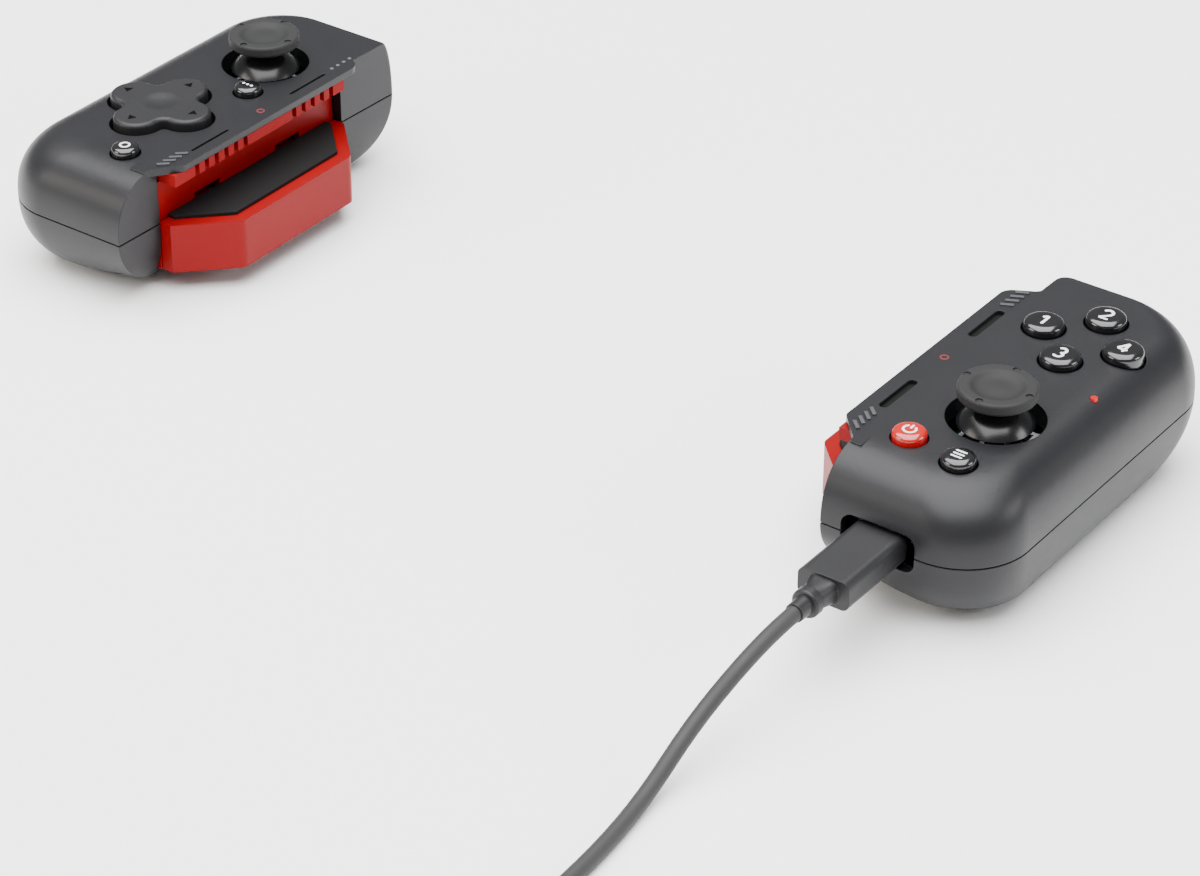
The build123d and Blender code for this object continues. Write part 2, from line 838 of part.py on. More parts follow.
def make_clamp(side):
    """Lip pad, back panel, sprung jaw with its pad, guide pins and springs"""
    length = clamp_near_reach + clamp_far_reach
    pad_front = lip_x + lip_pad_setback
    with BuildPart() as lip_pad:
        with BuildSketch(Plane.XY.offset(slot_top)):
            with Locations(((pad_front + clamp_x) / 2, (pad_far_y + pad_near_y) / 2)):
                Rectangle(clamp_x - pad_front, pad_far_y - pad_near_y)
            for end, grooves in ((-1, pad_near_grooves), (1, pad_far_grooves)):
                for groove in range(grooves):
                    place = end * (pad_first_groove + groove * pad_rib_pitch)
                    with Locations((pad_front + pad_groove_depth / 2, place)):
                        Rectangle(pad_groove_depth, pad_groove_width, mode=Mode.SUBTRACT)
        extrude(amount=lip_bottom - slot_top)
    write_for(side, lip_pad.part, "lip_pad")

    with BuildPart() as back_panel:
        with BuildSketch(Plane.XY.offset(panel_bottom)):
            with Locations((clamp_x - panel_thickness / 2, clamp_middle)):
                Rectangle(panel_thickness, length)
        extrude(amount=slot_top - panel_bottom)
        with BuildSketch(Plane.XY.offset(panel_bottom)):
            with Locations(*[(clamp_x - panel_thickness / 2, y) for y in arm_places]):
                Rectangle(2 * panel_thickness, arm_width + 2 * gap)
        extrude(amount=arm_top + jaw_closing_travel + gap - panel_bottom, mode=Mode.SUBTRACT)
    write_for(side, back_panel.part, "back_panel")

    slope = jaw_front_x - jaw_shoulder - jaw_tip_x
    half = length / 2

    def tongue(back_x, inset):
        """Plan of the jaw: a plate with a tongue that narrows at 45 degrees"""
        diagonal = inset * math.sqrt(2)
        with BuildSketch() as plan:
            with BuildLine():
                Polyline(
                    (back_x, clamp_middle - half + inset),
                    (jaw_front_x - jaw_shoulder - inset + diagonal, clamp_middle - half + inset),
                    (jaw_tip_x + inset, clamp_middle - half + slope + diagonal - inset),
                    (jaw_tip_x + inset, clamp_middle + half - slope - diagonal + inset),
                    (jaw_front_x - jaw_shoulder - inset + diagonal, clamp_middle + half - inset),
                    (back_x, clamp_middle + half - inset),
                    close=True,
                )
            make_face()
            fillet(plan.vertices().group_by(Axis.X)[0], jaw_corner_radius - min(inset, jaw_skin))
        return plan.sketch

    outline = tongue(jaw_back_x, 0)
    hollow = tongue(jaw_front_x, jaw_skin)
    cushion = tongue(jaw_back_x, jaw_pad_margin)
    with BuildPart() as jaw:
        with BuildSketch(Plane.XY.offset(jaw_bottom)):
            add(outline)
        extrude(amount=jaw_height)
        with BuildSketch(Plane.XY.offset(jaw_bottom)):
            add(hollow)
        extrude(amount=jaw_height - jaw_skin, mode=Mode.SUBTRACT)
        with BuildSketch(Plane.XY.offset(arm_bottom)):
            with Locations(*[((jaw_back_x + arm_end_x) / 2, y) for y in arm_places]):
                Rectangle(arm_end_x - jaw_back_x, arm_width)
        extrude(amount=arm_height)
        with BuildSketch(Plane.XY.offset(arm_bottom)):
            with Locations(*[(guide_pin_x, y) for y in arm_places]):
                Circle(guide_pin_radius + running)
        extrude(amount=arm_height, mode=Mode.SUBTRACT)
        with BuildSketch(Plane.XY.offset(arm_bottom)):
            with Locations(*[(guide_pin_x, y) for y in arm_places]):
                Circle(spring_coil_radius + spring_wire_radius + gap)
        extrude(amount=spring_pocket_depth, mode=Mode.SUBTRACT)
    write_for(side, jaw.part, "jaw")

    with BuildPart() as jaw_pad:
        with BuildSketch(Plane.XY.offset(jaw_top)):
            add(cushion)
        extrude(amount=jaw_pad_thickness)
    write_for(side, jaw_pad.part, "jaw_pad")

    with BuildPart() as jaw_pins:
        with BuildSketch(Plane.XY.offset(guide_pin_foot)):
            with Locations(*[(guide_pin_x, y) for y in arm_places]):
                Circle(guide_pin_radius)
        extrude(amount=guide_pin_top - guide_pin_foot)
    write_for(side, jaw_pins.part, "jaw_pins")

    spring_height = arm_bottom + spring_pocket_depth - guide_boss_top - 2 * spring_wire_radius
    with BuildPart() as jaw_springs:
        for y in arm_places:
            with BuildLine() as wire:
                Helix(
                    pitch=spring_height / spring_turns,
                    height=spring_height,
                    radius=spring_coil_radius,
                    center=(guide_pin_x, y, guide_boss_top + spring_wire_radius),
                )
            with BuildSketch(Plane(origin=wire.line @ 0, z_dir=wire.line % 0)):
                Circle(spring_wire_radius)
            sweep()
    write_for(side, jaw_springs.part, "jaw_springs")


def make_inside(side):
    """Board, battery and screws"""
    with BuildPart() as board:
        with BuildSketch(Plane.XY.offset(board_bottom)) as board_plan:
            with Locations(((board_inner_x + board_outer_x) / 2, (board_near_y + board_far_y) / 2)):
                Rectangle(board_outer_x - board_inner_x, board_far_y - board_near_y)
            fillet(board_plan.vertices().group_by(Axis.X)[-1], board_corner_radius)
            with Locations(*screw_places):
                Circle(board_hole_radius, mode=Mode.SUBTRACT)
        extrude(amount=board_thickness)
        with BuildSketch(Plane.XY.offset(board_bottom)):
            with Locations(battery_centre):
                with GridLocations(0, battery_rib_pitch, 1, 3):
                    Rectangle(chip_size, chip_size)
        extrude(amount=-chip_height)
        with BuildSketch(Plane.XY.offset(board_top)):
            with Locations(*[BUTTONS[side][name][0] for name in BUTTONS[side] if name not in FACE_BUTTONS]):
                Circle(switch_radius)
        extrude(amount=switch_height)
        with BuildSketch(Plane.XY.offset(board_top)):
            with Locations((bumper_centre[0], bumper_switch_y - bumper_switch_size / 2)):
                Rectangle(bumper_switch_size, bumper_switch_size)
        extrude(amount=bumper_switch_height)
    write_for(side, board.part, "board")

    with BuildPart() as battery:
        with BuildSketch(Plane.XY.offset(battery_bottom)):
            with Locations(battery_centre):
                Rectangle(battery_outer_x - battery_inner_x, 2 * battery_half_length)
        extrude(amount=battery_thickness)
        fillet(battery.edges().filter_by(Axis.Y), battery_corner_radius)
    write_for(side, battery.part, "battery")

    with BuildPart() as screws:
        with BuildSketch(Plane.XY.offset(screw_seat_z)):
            with Locations(*screw_places):
                Circle(screw_head_radius)
        extrude(amount=-screw_head_height)
        with BuildSketch(Plane.XY.offset(screw_seat_z)):
            with Locations(*screw_places):
                Circle(screw_shaft_radius)
        extrude(amount=screw_tip_z - screw_seat_z)
        with BuildSketch(Plane.XY.offset(screw_seat_z - screw_head_height)):
            with Locations(*screw_places):
                RegularPolygon(driver_recess_radius, 6)
        extrude(amount=driver_recess_depth, mode=Mode.SUBTRACT)
    write_for(side, screws.part, "screws")


def make_stick(side):
    """Thumb stick: a base with a gimbal yoke, a rocker with its dome, and the cap"""
    x, y = STICKS[side]
    upright = Plane(origin=(x, y, stick_pivot_z), x_dir=(1, 0, 0), z_dir=(0, -1, 0))
    spin = Axis((x, y, 0), (0, 0, 1))
    along_x = Plane(origin=(x, y, stick_pivot_z), x_dir=(0, 1, 0), z_dir=(1, 0, 0))

    with BuildPart() as base:
        with BuildSketch(Plane.XY.offset(board_top)):
            with Locations((x, y)):
                Rectangle(stick_base_size, stick_base_size)
        extrude(amount=stick_base_height)
        with BuildSketch(Plane.XY.offset(board_top + stick_base_floor)):
            with Locations((x, y)):
                Rectangle(stick_base_size - 2 * stick_base_wall, stick_base_size - 2 * stick_base_wall)
        extrude(amount=stick_base_height, mode=Mode.SUBTRACT)
        with BuildSketch(along_x):
            Circle(yoke_pin_radius + running)
        extrude(amount=stick_base_size, both=True, mode=Mode.SUBTRACT)
    write_for(side, base.part, "stick_base")

    with BuildPart() as yoke:
        with BuildSketch(Plane.XY.offset(stick_pivot_z - yoke_height / 2)):
            with Locations((x, y)):
                Circle(yoke_outer_radius)
                Circle(yoke_inner_radius, mode=Mode.SUBTRACT)
        extrude(amount=yoke_height)
        for turn in (-1, 1):
            start = (yoke_inner_radius + yoke_outer_radius) / 2
            with BuildSketch(along_x.offset(turn * start)):
                Circle(yoke_pin_radius)
            extrude(amount=turn * (yoke_pin_reach - start))
        with BuildSketch(upright):
            Circle(rocker_pin_radius + running)
        extrude(amount=yoke_outer_radius, both=True, mode=Mode.SUBTRACT)
    write_for(side, yoke.part, "stick_yoke")

    edge_x = dome_radius * math.sin(math.radians(dome_angle))
    edge_z = dome_radius * math.cos(math.radians(dome_angle))
    inner_radius = dome_radius - dome_thickness
    inner_share = inner_radius / dome_radius
    with BuildPart() as rocker:
        with BuildSketch(upright):
            with BuildLine():
                RadiusArc((0, dome_radius), (edge_x, edge_z), dome_radius)
                Line((edge_x, edge_z), (edge_x * inner_share, edge_z * inner_share))
                RadiusArc((edge_x * inner_share, edge_z * inner_share), (0, inner_radius), -inner_radius)
                Line((0, inner_radius), (0, dome_radius))
            make_face()
        revolve(axis=spin)
        with BuildSketch(Plane.XY.offset(stick_pivot_z - rocker_hub_drop)):
            with Locations((x, y)):
                Circle(rocker_hub_radius)
        extrude(amount=rocker_hub_drop + (inner_radius + dome_radius) / 2)
        with BuildSketch(upright):
            Circle(rocker_pin_radius)
        extrude(amount=rocker_pin_reach, both=True)
        with BuildSketch(Plane.XY.offset(stick_pivot_z + rocker_pin_radius + gap)):
            with Locations((x, y)):
                Circle(cap_stem_radius + running)
        extrude(amount=dome_radius, mode=Mode.SUBTRACT)
    write_for(side, rocker.part, "stick_rocker")

    cap_top = grip_height + cap_rise - stick_pivot_z
    cap_under = cap_top - cap_edge_thickness
    neck_bottom = dome_radius + cap_click_travel + gap
    stem_bottom_height = rocker_pin_radius + gap + cap_click_travel + running
    with BuildPart() as cap:
        with BuildSketch(upright) as profile:
            with BuildLine():
                Polyline(
                    (0, stem_bottom_height),
                    (cap_stem_radius, stem_bottom_height),
                    (cap_stem_radius, neck_bottom),
                    (cap_neck_radius, neck_bottom),
                    (cap_neck_flare, cap_under),
                    (cap_radius, cap_under),
                    (cap_radius, cap_top),
                    (cap_dish_radius, cap_top),
                )
                dish_start = (cap_dish_radius, cap_top)
                Spline(
                    dish_start,
                    (cap_dish_radius * dish_wall_share, cap_top - cap_dish_depth * dish_drop_share),
                    (0, cap_top - cap_dish_depth),
                    tangents=[(-1, 0), (-1, 0)],
                )
                Line((0, cap_top - cap_dish_depth), (0, stem_bottom_height))
            make_face()
            fillet(profile.vertices().group_by(Axis.X)[-1], cap_edge_radius)
        revolve(axis=spin)
        with BuildSketch(Plane.XY.offset(stick_pivot_z + cap_top - cap_notch_depth)):
            with Locations((x, y)):
                with PolarLocations((cap_dish_radius + cap_radius) / 2, 4):
                    Circle(cap_notch_radius)
        extrude(amount=overrun, mode=Mode.SUBTRACT)
    write_for(side, cap.part, "stick_cap")


def make_buttons(side):
    """Round buttons: a crowned cap, a flange under the face and a stem down to the switch"""
    for name, (place, radius, _) in BUTTONS[side].items():
        upright = Plane(origin=(*place, 0), x_dir=(1, 0, 0), z_dir=(0, -1, 0))
        edge_z = grip_height + button_rise
        with BuildPart() as button:
            with BuildSketch(upright):
                with BuildLine():
                    Polyline(
                        (0, stem_bottom),
                        (button_stem_radius, stem_bottom),
                        (button_stem_radius, flange_bottom),
                        (radius + button_flange, flange_bottom),
                        (radius + button_flange, flange_top),
                        (radius, flange_top),
                        (radius, edge_z),
                    )
                    Spline((radius, edge_z), (0, edge_z + button_crown), tangents=[(0, 1), (-1, 0)])
                    Line((0, edge_z + button_crown), (0, stem_bottom))
                make_face()
            revolve(axis=Axis((*place, 0), (0, 0, 1)))
        write_for(side, button.part, name)


def make_membrane():
    """Rubber sheet under the four face buttons"""
    with BuildPart() as membrane:
        with BuildSketch(Plane.XY.offset(board_top)):
            with Locations(*FACE_BUTTONS.values()):
                Circle(membrane_pad_radius)
            with Locations(face_diamond):
                Rectangle(
                    face_diamond_radius * math.sqrt(2),
                    face_diamond_radius * math.sqrt(2),
                    rotation=quarter_turn / 2,
                )
        extrude(amount=membrane_thickness)
        with BuildSketch(Plane.XY.offset(board_top + membrane_thickness)):
            with Locations(*FACE_BUTTONS.values()):
                Circle(membrane_nub_radius)
        extrude(amount=membrane_nub_height)
    write(membrane.part, "right_button_membrane")


def make_dpad():
    """Directional pad with its hub, and the pivot ring that carries it"""
    x, y = dpad_place
    along_x = Plane(origin=(x, y, dpad_pivot_z), x_dir=(0, 1, 0), z_dir=(1, 0, 0))
    upright = Plane(origin=(x, y, dpad_pivot_z), x_dir=(1, 0, 0), z_dir=(0, -1, 0))
    pad_top = grip_height + dpad_rise
    with BuildPart() as pad:
        with BuildSketch(Plane.XY.offset(pad_top - dpad_thickness)):
            add(pad_outline)
        extrude(amount=dpad_thickness)
        fillet(pad.faces().sort_by(Axis.Z)[-1].edges(), dpad_edge_radius)
        with BuildSketch(Plane(origin=(x, y, pad_top), x_dir=(1, 0, 0), z_dir=(0, -1, 0))):
            with BuildLine():
                Bezier(
                    (0, -dpad_dish_depth),
                    (dpad_dish_radius / 2, -dpad_dish_depth),
                    (dpad_dish_radius / 2, dpad_dish_lift),
                    (dpad_dish_radius, dpad_dish_lift),
                )
                Polyline(
                    (dpad_dish_radius, dpad_dish_lift),
                    (dpad_dish_radius, overrun),
                    (0, overrun),
                    (0, -dpad_dish_depth),
                )
            make_face()
        revolve(axis=Axis((x, y, 0), (0, 0, 1)), mode=Mode.SUBTRACT)
        with BuildSketch(Plane.XY.offset(pad_top - dpad_thickness)):
            with Locations(dpad_place):
                Circle(dpad_hub_radius)
        extrude(amount=dpad_pivot_z - dpad_hub_drop - pad_top + dpad_thickness)
        with BuildSketch(upright):
            Circle(dpad_pin_radius)
        extrude(amount=dpad_pin_reach, both=True)
    write_for("left", pad.part, "dpad")

    with BuildPart() as pivot:
        with BuildSketch(Plane.XY.offset(dpad_pivot_z - pivot_ring_height / 2)):
            with Locations(dpad_place):
                Circle(pivot_ring_outer_radius)
                Circle(pivot_ring_inner_radius, mode=Mode.SUBTRACT)
        extrude(amount=pivot_ring_height)
        for turn in (-1, 1):
            start = (pivot_ring_inner_radius + pivot_ring_outer_radius) / 2
            with BuildSketch(along_x.offset(turn * start)):
                Circle(pivot_pin_radius)
            extrude(amount=turn * (pivot_pin_reach - start))
        with BuildSketch(upright):
            Circle(dpad_pin_radius + running)
        extrude(amount=pivot_ring_outer_radius, both=True, mode=Mode.SUBTRACT)
    write_for("left", pivot.part, "dpad_pivot")


def make_lights():
    """Light pipes: four status dots on the left grip, one power light on the right"""
    with BuildPart() as status:
        with BuildSketch(Plane.XY.offset(grip_height)):
            with Locations(*status_lights):
                Circle(status_light_radius)
        extrude(amount=-status_light_length)
    write_for("left", status.part, "lights")
    with BuildPart() as power:
        with BuildSketch(Plane.XY.offset(grip_height)):
            with Locations(power_light_place):
                Circle(power_light_radius)
        extrude(amount=-power_light_length)
    write_for("right", power.part, "lights")


def make_far_controls(side):
    """Bumper, and the trigger with its pin and return spring"""
    with BuildPart() as bumper:
        with BuildSketch(Plane.XZ.offset(-bumper_flange_y)):
            with Locations(bumper_centre):
                Rectangle(bumper_width, bumper_height)
        extrude(amount=bumper_flange_y - bumper_face_y)
        fillet(bumper.faces().sort_by(Axis.Y)[-1].edges(), bumper_edge_radius)
        with BuildSketch(Plane.XZ.offset(-bumper_flange_y)):
            with Locations(bumper_centre):
                Rectangle(bumper_width + 2 * bumper_flange, bumper_height + 2 * bumper_flange)
        extrude(amount=bumper_flange_thickness)
    write_for(side, bumper.part, "bumper")

    pivot_y, pivot_z = trigger_pivot
    middle_x = trigger_inner_x + trigger_width / 2
    side_plane = Plane.YZ.offset(trigger_inner_x)
    hollow_middle = (
        (trigger_face_y + trigger_tip_y) / 2 - trigger_hollow,
        (trigger_top_z - trigger_shoulder + trigger_tip_z) / 2,
    )
    back_middle = (hollow_middle[0] - trigger_thickness, hollow_middle[1])
    with BuildPart() as trigger:
        with BuildSketch(side_plane):
            with BuildLine():
                Line((pivot_y, trigger_top_z), (trigger_face_y - trigger_shoulder, trigger_top_z))
                Line(
                    (trigger_face_y - trigger_shoulder, trigger_top_z),
                    (trigger_face_y, trigger_top_z - trigger_shoulder),
                )
                ThreePointArc(
                    (trigger_face_y, trigger_top_z - trigger_shoulder),
                    hollow_middle,
                    (trigger_tip_y, trigger_tip_z),
                )
                Line((trigger_tip_y, trigger_tip_z), (trigger_tip_y - trigger_thickness, trigger_tip_z))
                Line((trigger_tip_y - trigger_thickness, trigger_tip_z), back_middle)
                Line(back_middle, (pivot_y, pivot_z - trigger_hub_radius))
                Line((pivot_y, pivot_z - trigger_hub_radius), (pivot_y, trigger_top_z))
            make_face()
            with Locations(trigger_pivot):
                Circle(trigger_hub_radius)
        extrude(amount=trigger_width)
        with BuildSketch(side_plane):
            with Locations(trigger_pivot):
                Circle(trigger_pin_radius + running)
        extrude(amount=trigger_width, mode=Mode.SUBTRACT)
        with BuildSketch(Plane.YZ.offset(middle_x - trigger_notch_width / 2)):
            with Locations(trigger_pivot):
                Circle(trigger_notch_radius)
        extrude(amount=trigger_notch_width, mode=Mode.SUBTRACT)
    write_for(side, trigger.part, "trigger")

    with BuildPart() as trigger_pin:
        with BuildSketch(Plane.YZ.offset(trigger_ears[0])):
            with Locations(trigger_pivot):
                Circle(trigger_pin_radius)
        extrude(amount=trigger_pin_length)
    write_for(side, trigger_pin.part, "trigger_pin")

    spring_length = trigger_spring_turns * trigger_spring_pitch
    with BuildPart() as trigger_spring:
        with BuildLine() as wire:
            Helix(
                pitch=trigger_spring_pitch,
                height=spring_length,
                radius=trigger_spring_radius,
                center=(middle_x - spring_length / 2, pivot_y, pivot_z),
                direction=(1, 0, 0),
            )
        with BuildSketch(Plane(origin=wire.line @ 0, z_dir=wire.line % 0)):
            Circle(trigger_spring_wire_radius)
        sweep()
    write_for(side, trigger_spring.part, "trigger_spring")


def make_socket():
    """Charging socket: a shell that hangs under the board, with its contact tongue"""
    with BuildPart() as socket:
        with BuildSketch(Plane.XZ.offset(-socket_mouth_y)):
            with Locations((plug_x, plug_z)):
                RectangleRounded(socket_width, socket_height, socket_corner_radius)
        extrude(amount=-socket_length)
        with BuildSketch(Plane.XZ.offset(-socket_mouth_y)):
            with Locations((plug_x, plug_z)):
                RectangleRounded(socket_bore_width, socket_bore_height, socket_corner_radius)
        extrude(amount=-socket_bore_depth, mode=Mode.SUBTRACT)
        with BuildSketch(Plane.XZ.offset(-socket_mouth_y - socket_length)):
            with Locations((plug_x, plug_z)):
                Rectangle(contact_width, contact_thickness)
        extrude(amount=contact_length + socket_length - socket_bore_depth)
        foot_y = (board_near_y + socket_mouth_y + socket_length) / 2
        with BuildSketch(Plane.XY.offset(board_bottom)):
            with Locations((plug_x, foot_y)):
                Rectangle(socket_foot_width, socket_mouth_y + socket_length - board_near_y)
        foot_bottom = plug_z + socket_bore_height / 2 + (socket_height - socket_bore_height) / 4
        extrude(amount=foot_bottom - board_bottom)
    write(socket.part, "right_usb_socket")


def make_plug():
    """The cable's plug in the socket, with its neck, ring and strain relief"""
    with BuildPart() as shell:
        with BuildSketch(Plane.XZ.offset(-plug_front_y)):
            with Locations((plug_x, plug_z)):
                RectangleRounded(tongue_width, tongue_height, socket_corner_radius)
                RectangleRounded(
                    tongue_width - 2 * tongue_wall,
                    tongue_height - 2 * tongue_wall,
                    socket_corner_radius - tongue_wall - running,
                    mode=Mode.SUBTRACT,
                )
        extrude(amount=-tongue_length)
    write(shell.part, "plug_shell")

    with BuildPart() as body:
        with BuildSketch(Plane.XZ.offset(-plug_front_y)):
            with Locations((plug_x, plug_z)):
                RectangleRounded(plug_width, plug_height, plug_edge_radius)
        extrude(amount=plug_length)
        with BuildSketch(Plane.XZ.offset(-plug_end_y)):
            with Locations((plug_x, plug_z)):
                RectangleRounded(neck_width, neck_height, neck_edge_radius)
        with BuildSketch(Plane.XZ.offset(-neck_end_y)):
            with Locations((plug_x, plug_z)):
                Circle(neck_end_radius)
        loft()
        with BuildSketch(Plane.XZ.offset(-neck_end_y)):
            with Locations((plug_x, plug_z)):
                Circle(ring_radius)
        extrude(amount=ring_length)
        fillet(body.faces().sort_by(Axis.Y)[0].edges(), ring_edge_radius)
        with BuildSketch(Plane.XZ.offset(-ring_end_y)):
            with Locations((plug_x, plug_z)):
                Circle(relief_front_radius)
        with BuildSketch(Plane.XZ.offset(-relief_end_y)):
            with Locations((plug_x, plug_z)):
                Circle(relief_back_radius)
        loft()
    write(body.part, "plug_body")


def biarc(start, heading, end, arrival):
    """Where two tangent arcs from one point and heading to another meet, and their heading there"""
    reach = end - start
    both = heading + arrival
    turn = 2 * (1 - heading.dot(arrival))
    along = reach.dot(both)
    if turn < smallest_turn:
        pull = reach.dot(reach) / (2 * along)
    else:
        pull = (math.sqrt(along**2 + turn * reach.dot(reach)) - along) / turn
    first = start + heading * pull
    second = end - arrival * pull
    return (first + second) / 2, second - first


def coil_point(quarters):
    """Point and heading of the coil's middle line after so many quarter turns"""
    middle = coil_quarters / 2
    inward = coil_pitch / 4
    radius = coil_outer_radius - inward * (middle - abs(quarters - middle))
    angle = math.radians(180 + quarter_turn * quarters)
    climbed = min(max((quarters - middle) / coil_climb_quarters + 1 / 2, 0), 1)
    drift = 0 if quarters in (0, middle, coil_quarters) else math.copysign(inward, quarters - middle)
    lift = coil_layer_rise / coil_climb_quarters if quarters == middle else 0
    sweep_length = radius * math.radians(quarter_turn)
    across = Vector(math.cos(angle), math.sin(angle), 0)
    along = Vector(-math.sin(angle), math.cos(angle), 0)
    place = Vector(*coil_middle, cord_radius + coil_layer_rise * climbed) + across * radius
    heading = (along * sweep_length + across * drift + Vector(0, 0, lift)).normalized()
    return place, heading


def report_bends(name, radii):
    """Print the radii of a route's arcs"""
    print(f"{name}: arc radii", ", ".join(f"{radius:.1f}" for radius in radii))


def report_tube(name, piece, path, radius):
    """Compare a tube's volume with its section times its length"""
    expected = math.pi * radius**2 * path.length
    print(f"{name}: length {path.length:.1f}, volume ratio {piece.volume / expected:.5f}")


def least_gap(path, radius, spacing):
    """Least distance between a tube's surfaces that aren't neighbours along its length"""
    count = int(path.length / spacing)
    points = [path @ (step / count) for step in range(count + 1)]
    apart = int(math.pi * 2 * radius / spacing) + 1
    closest = min(
        (points[late] - points[early]).length
        for early in range(0, count + 1)
        for late in range(early + apart, count + 1)
    )
    return closest - 2 * radius


def make_cord():
    """The cord from the plug to the coil, the coil, and the plug at its far end"""
    start = (plug_x, relief_end_y, plug_z)
    coil_start, _ = coil_point(0)
    meeting = coil_start + Vector(0, cord_diameter, 0)
    points = [Vector(*point) for point in (start, *cord_bends)] + [meeting]
    radii = []
    for before, here, after in zip(points, points[1:], points[2:]):
        run_in = here - before
        run_out = after - here
        half_turn = math.radians(run_in.get_angle(run_out) / 2)
        radii.append(arc_share * min(run_in.length, run_out.length) / math.tan(half_turn))
    report_bends("cord_tube", radii)
    with BuildPart() as tube:
        with BuildLine() as route:
            FilletPolyline(*points, radius=radii)
        with BuildSketch(Plane(origin=route.line @ 0, z_dir=route.line % 0)):
            Circle(cord_radius)
        sweep()
    report_tube("cord_tube", tube.part, route.wire(), cord_radius)
    write(tube.part, "cord_tube")

    nodes = [coil_point(quarters) for quarters in range(coil_quarters + 1)]
    last, last_heading = nodes[-1]
    tail = Vector(last.X, last.Y + coil_tail_run, far_plug_height / 2)
    nodes.append((tail, last_heading))
    with BuildPart() as coil:
        with BuildLine() as route:
            Line(meeting, coil_start)
            for (place, heading), (after, arrival) in zip(nodes, nodes[1:]):
                between, turning = biarc(place, heading, after, arrival)
                TangentArc(place, between, tangent=heading)
                TangentArc(between, after, tangent=turning)
            Line(tail, tail + Vector(0, cord_diameter, 0))
        with BuildSketch(Plane(origin=route.line @ 0, z_dir=route.line % 0)):
            Circle(cord_radius)
        sweep()
    report_tube("cord_coil", coil.part, route.wire(), cord_radius)
    print(f"cord_coil: least gap {least_gap(route.wire(), cord_radius, gap_sample_spacing):.2f}")
    write(coil.part, "cord_coil")

    relief_y = tail.Y + cord_diameter
    body_y = relief_y + far_relief_length
    shell_y = body_y + far_plug_length
    with BuildPart() as far_body:
        with BuildSketch(Plane.XZ.offset(-body_y)):
            with Locations((tail.X, tail.Z)):
                RectangleRounded(far_plug_width, far_plug_height, far_plug_edge_radius)
        extrude(amount=-far_plug_length)
        with BuildSketch(Plane.XZ.offset(-body_y)):
            with Locations((tail.X, tail.Z)):
                Circle(far_relief_radius)
        with BuildSketch(Plane.XZ.offset(-relief_y)):
            with Locations((tail.X, tail.Z)):
                Circle(relief_back_radius)
        loft()
    write(far_body.part, "far_plug_body")

    with BuildPart() as far_shell:
        with BuildSketch(Plane.XZ.offset(-shell_y)):
            with Locations((tail.X, tail.Z)):
                Rectangle(far_shell_width, far_shell_height)
        extrude(amount=-far_shell_length)
        with BuildSketch(Plane.XZ.offset(-shell_y - far_shell_wall)):
            with Locations((tail.X, tail.Z)):
                Rectangle(far_shell_width - 2 * far_shell_wall, far_shell_height - 2 * far_shell_wall)
        extrude(amount=-far_shell_length, mode=Mode.SUBTRACT)
        contact_z = tail.Z + (far_shell_height - far_contact_thickness) / 2 - far_shell_wall
        with BuildSketch(Plane.XZ.offset(-shell_y)):
            with Locations((tail.X, contact_z)):
                Rectangle(far_shell_width - 2 * far_shell_wall, far_contact_thickness)
        extrude(amount=far_shell_wall - far_shell_length)
    write(far_shell.part, "far_plug_shell")


for side in ("left", "right"):
    make_top_shell(side)
    make_bottom_shell(side)
    make_clamp(side)
    make_inside(side)
    make_stick(side)
    make_buttons(side)
    make_far_controls(side)
make_membrane()
make_dpad()
make_lights()
make_socket()
make_plug()
make_cord()
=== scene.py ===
"""Mobile game controller on a pale table: camera, light, charging cord, printed marks and finishes.

Two black grips face each other, each with a fixed lip over a sprung red jaw. The shells, sticks,
buttons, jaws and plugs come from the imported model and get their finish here. The cord, the jaw springs
and the printed marks are made here, the springs and marks as surfaces worked out with numpy.
All sizes are in metres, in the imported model's frame; a `mm` factor keeps small sizes readable.
"""

import json
import math

import bpy
import numpy as np
from mathutils import Matrix, Vector


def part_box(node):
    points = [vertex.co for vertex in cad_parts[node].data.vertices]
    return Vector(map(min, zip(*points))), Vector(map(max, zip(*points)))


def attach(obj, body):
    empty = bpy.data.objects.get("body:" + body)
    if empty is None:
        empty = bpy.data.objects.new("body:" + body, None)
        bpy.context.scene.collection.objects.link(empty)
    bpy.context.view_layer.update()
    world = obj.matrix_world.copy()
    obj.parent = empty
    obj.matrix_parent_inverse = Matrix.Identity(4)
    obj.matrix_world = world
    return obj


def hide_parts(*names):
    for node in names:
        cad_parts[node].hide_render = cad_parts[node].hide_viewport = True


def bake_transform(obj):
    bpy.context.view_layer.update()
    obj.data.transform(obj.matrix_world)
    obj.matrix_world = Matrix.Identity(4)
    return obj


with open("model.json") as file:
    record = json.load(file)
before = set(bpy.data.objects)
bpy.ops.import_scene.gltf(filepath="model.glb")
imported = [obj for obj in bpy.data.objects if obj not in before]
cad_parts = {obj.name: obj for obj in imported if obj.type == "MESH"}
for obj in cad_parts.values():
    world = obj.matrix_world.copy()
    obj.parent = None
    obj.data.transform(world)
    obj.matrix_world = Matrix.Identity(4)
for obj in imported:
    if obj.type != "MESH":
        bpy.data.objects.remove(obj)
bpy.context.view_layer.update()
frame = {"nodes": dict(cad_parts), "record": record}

mm = 0.001
full_turn = 2 * math.pi


# Camera

camera_place = (0.42342, -0.57478, 0.43244)
camera_azimuth = 36.03
camera_elevation = 32.49
camera_roll = 0.134
camera_lens = 113.89
sensor_width = 36.0


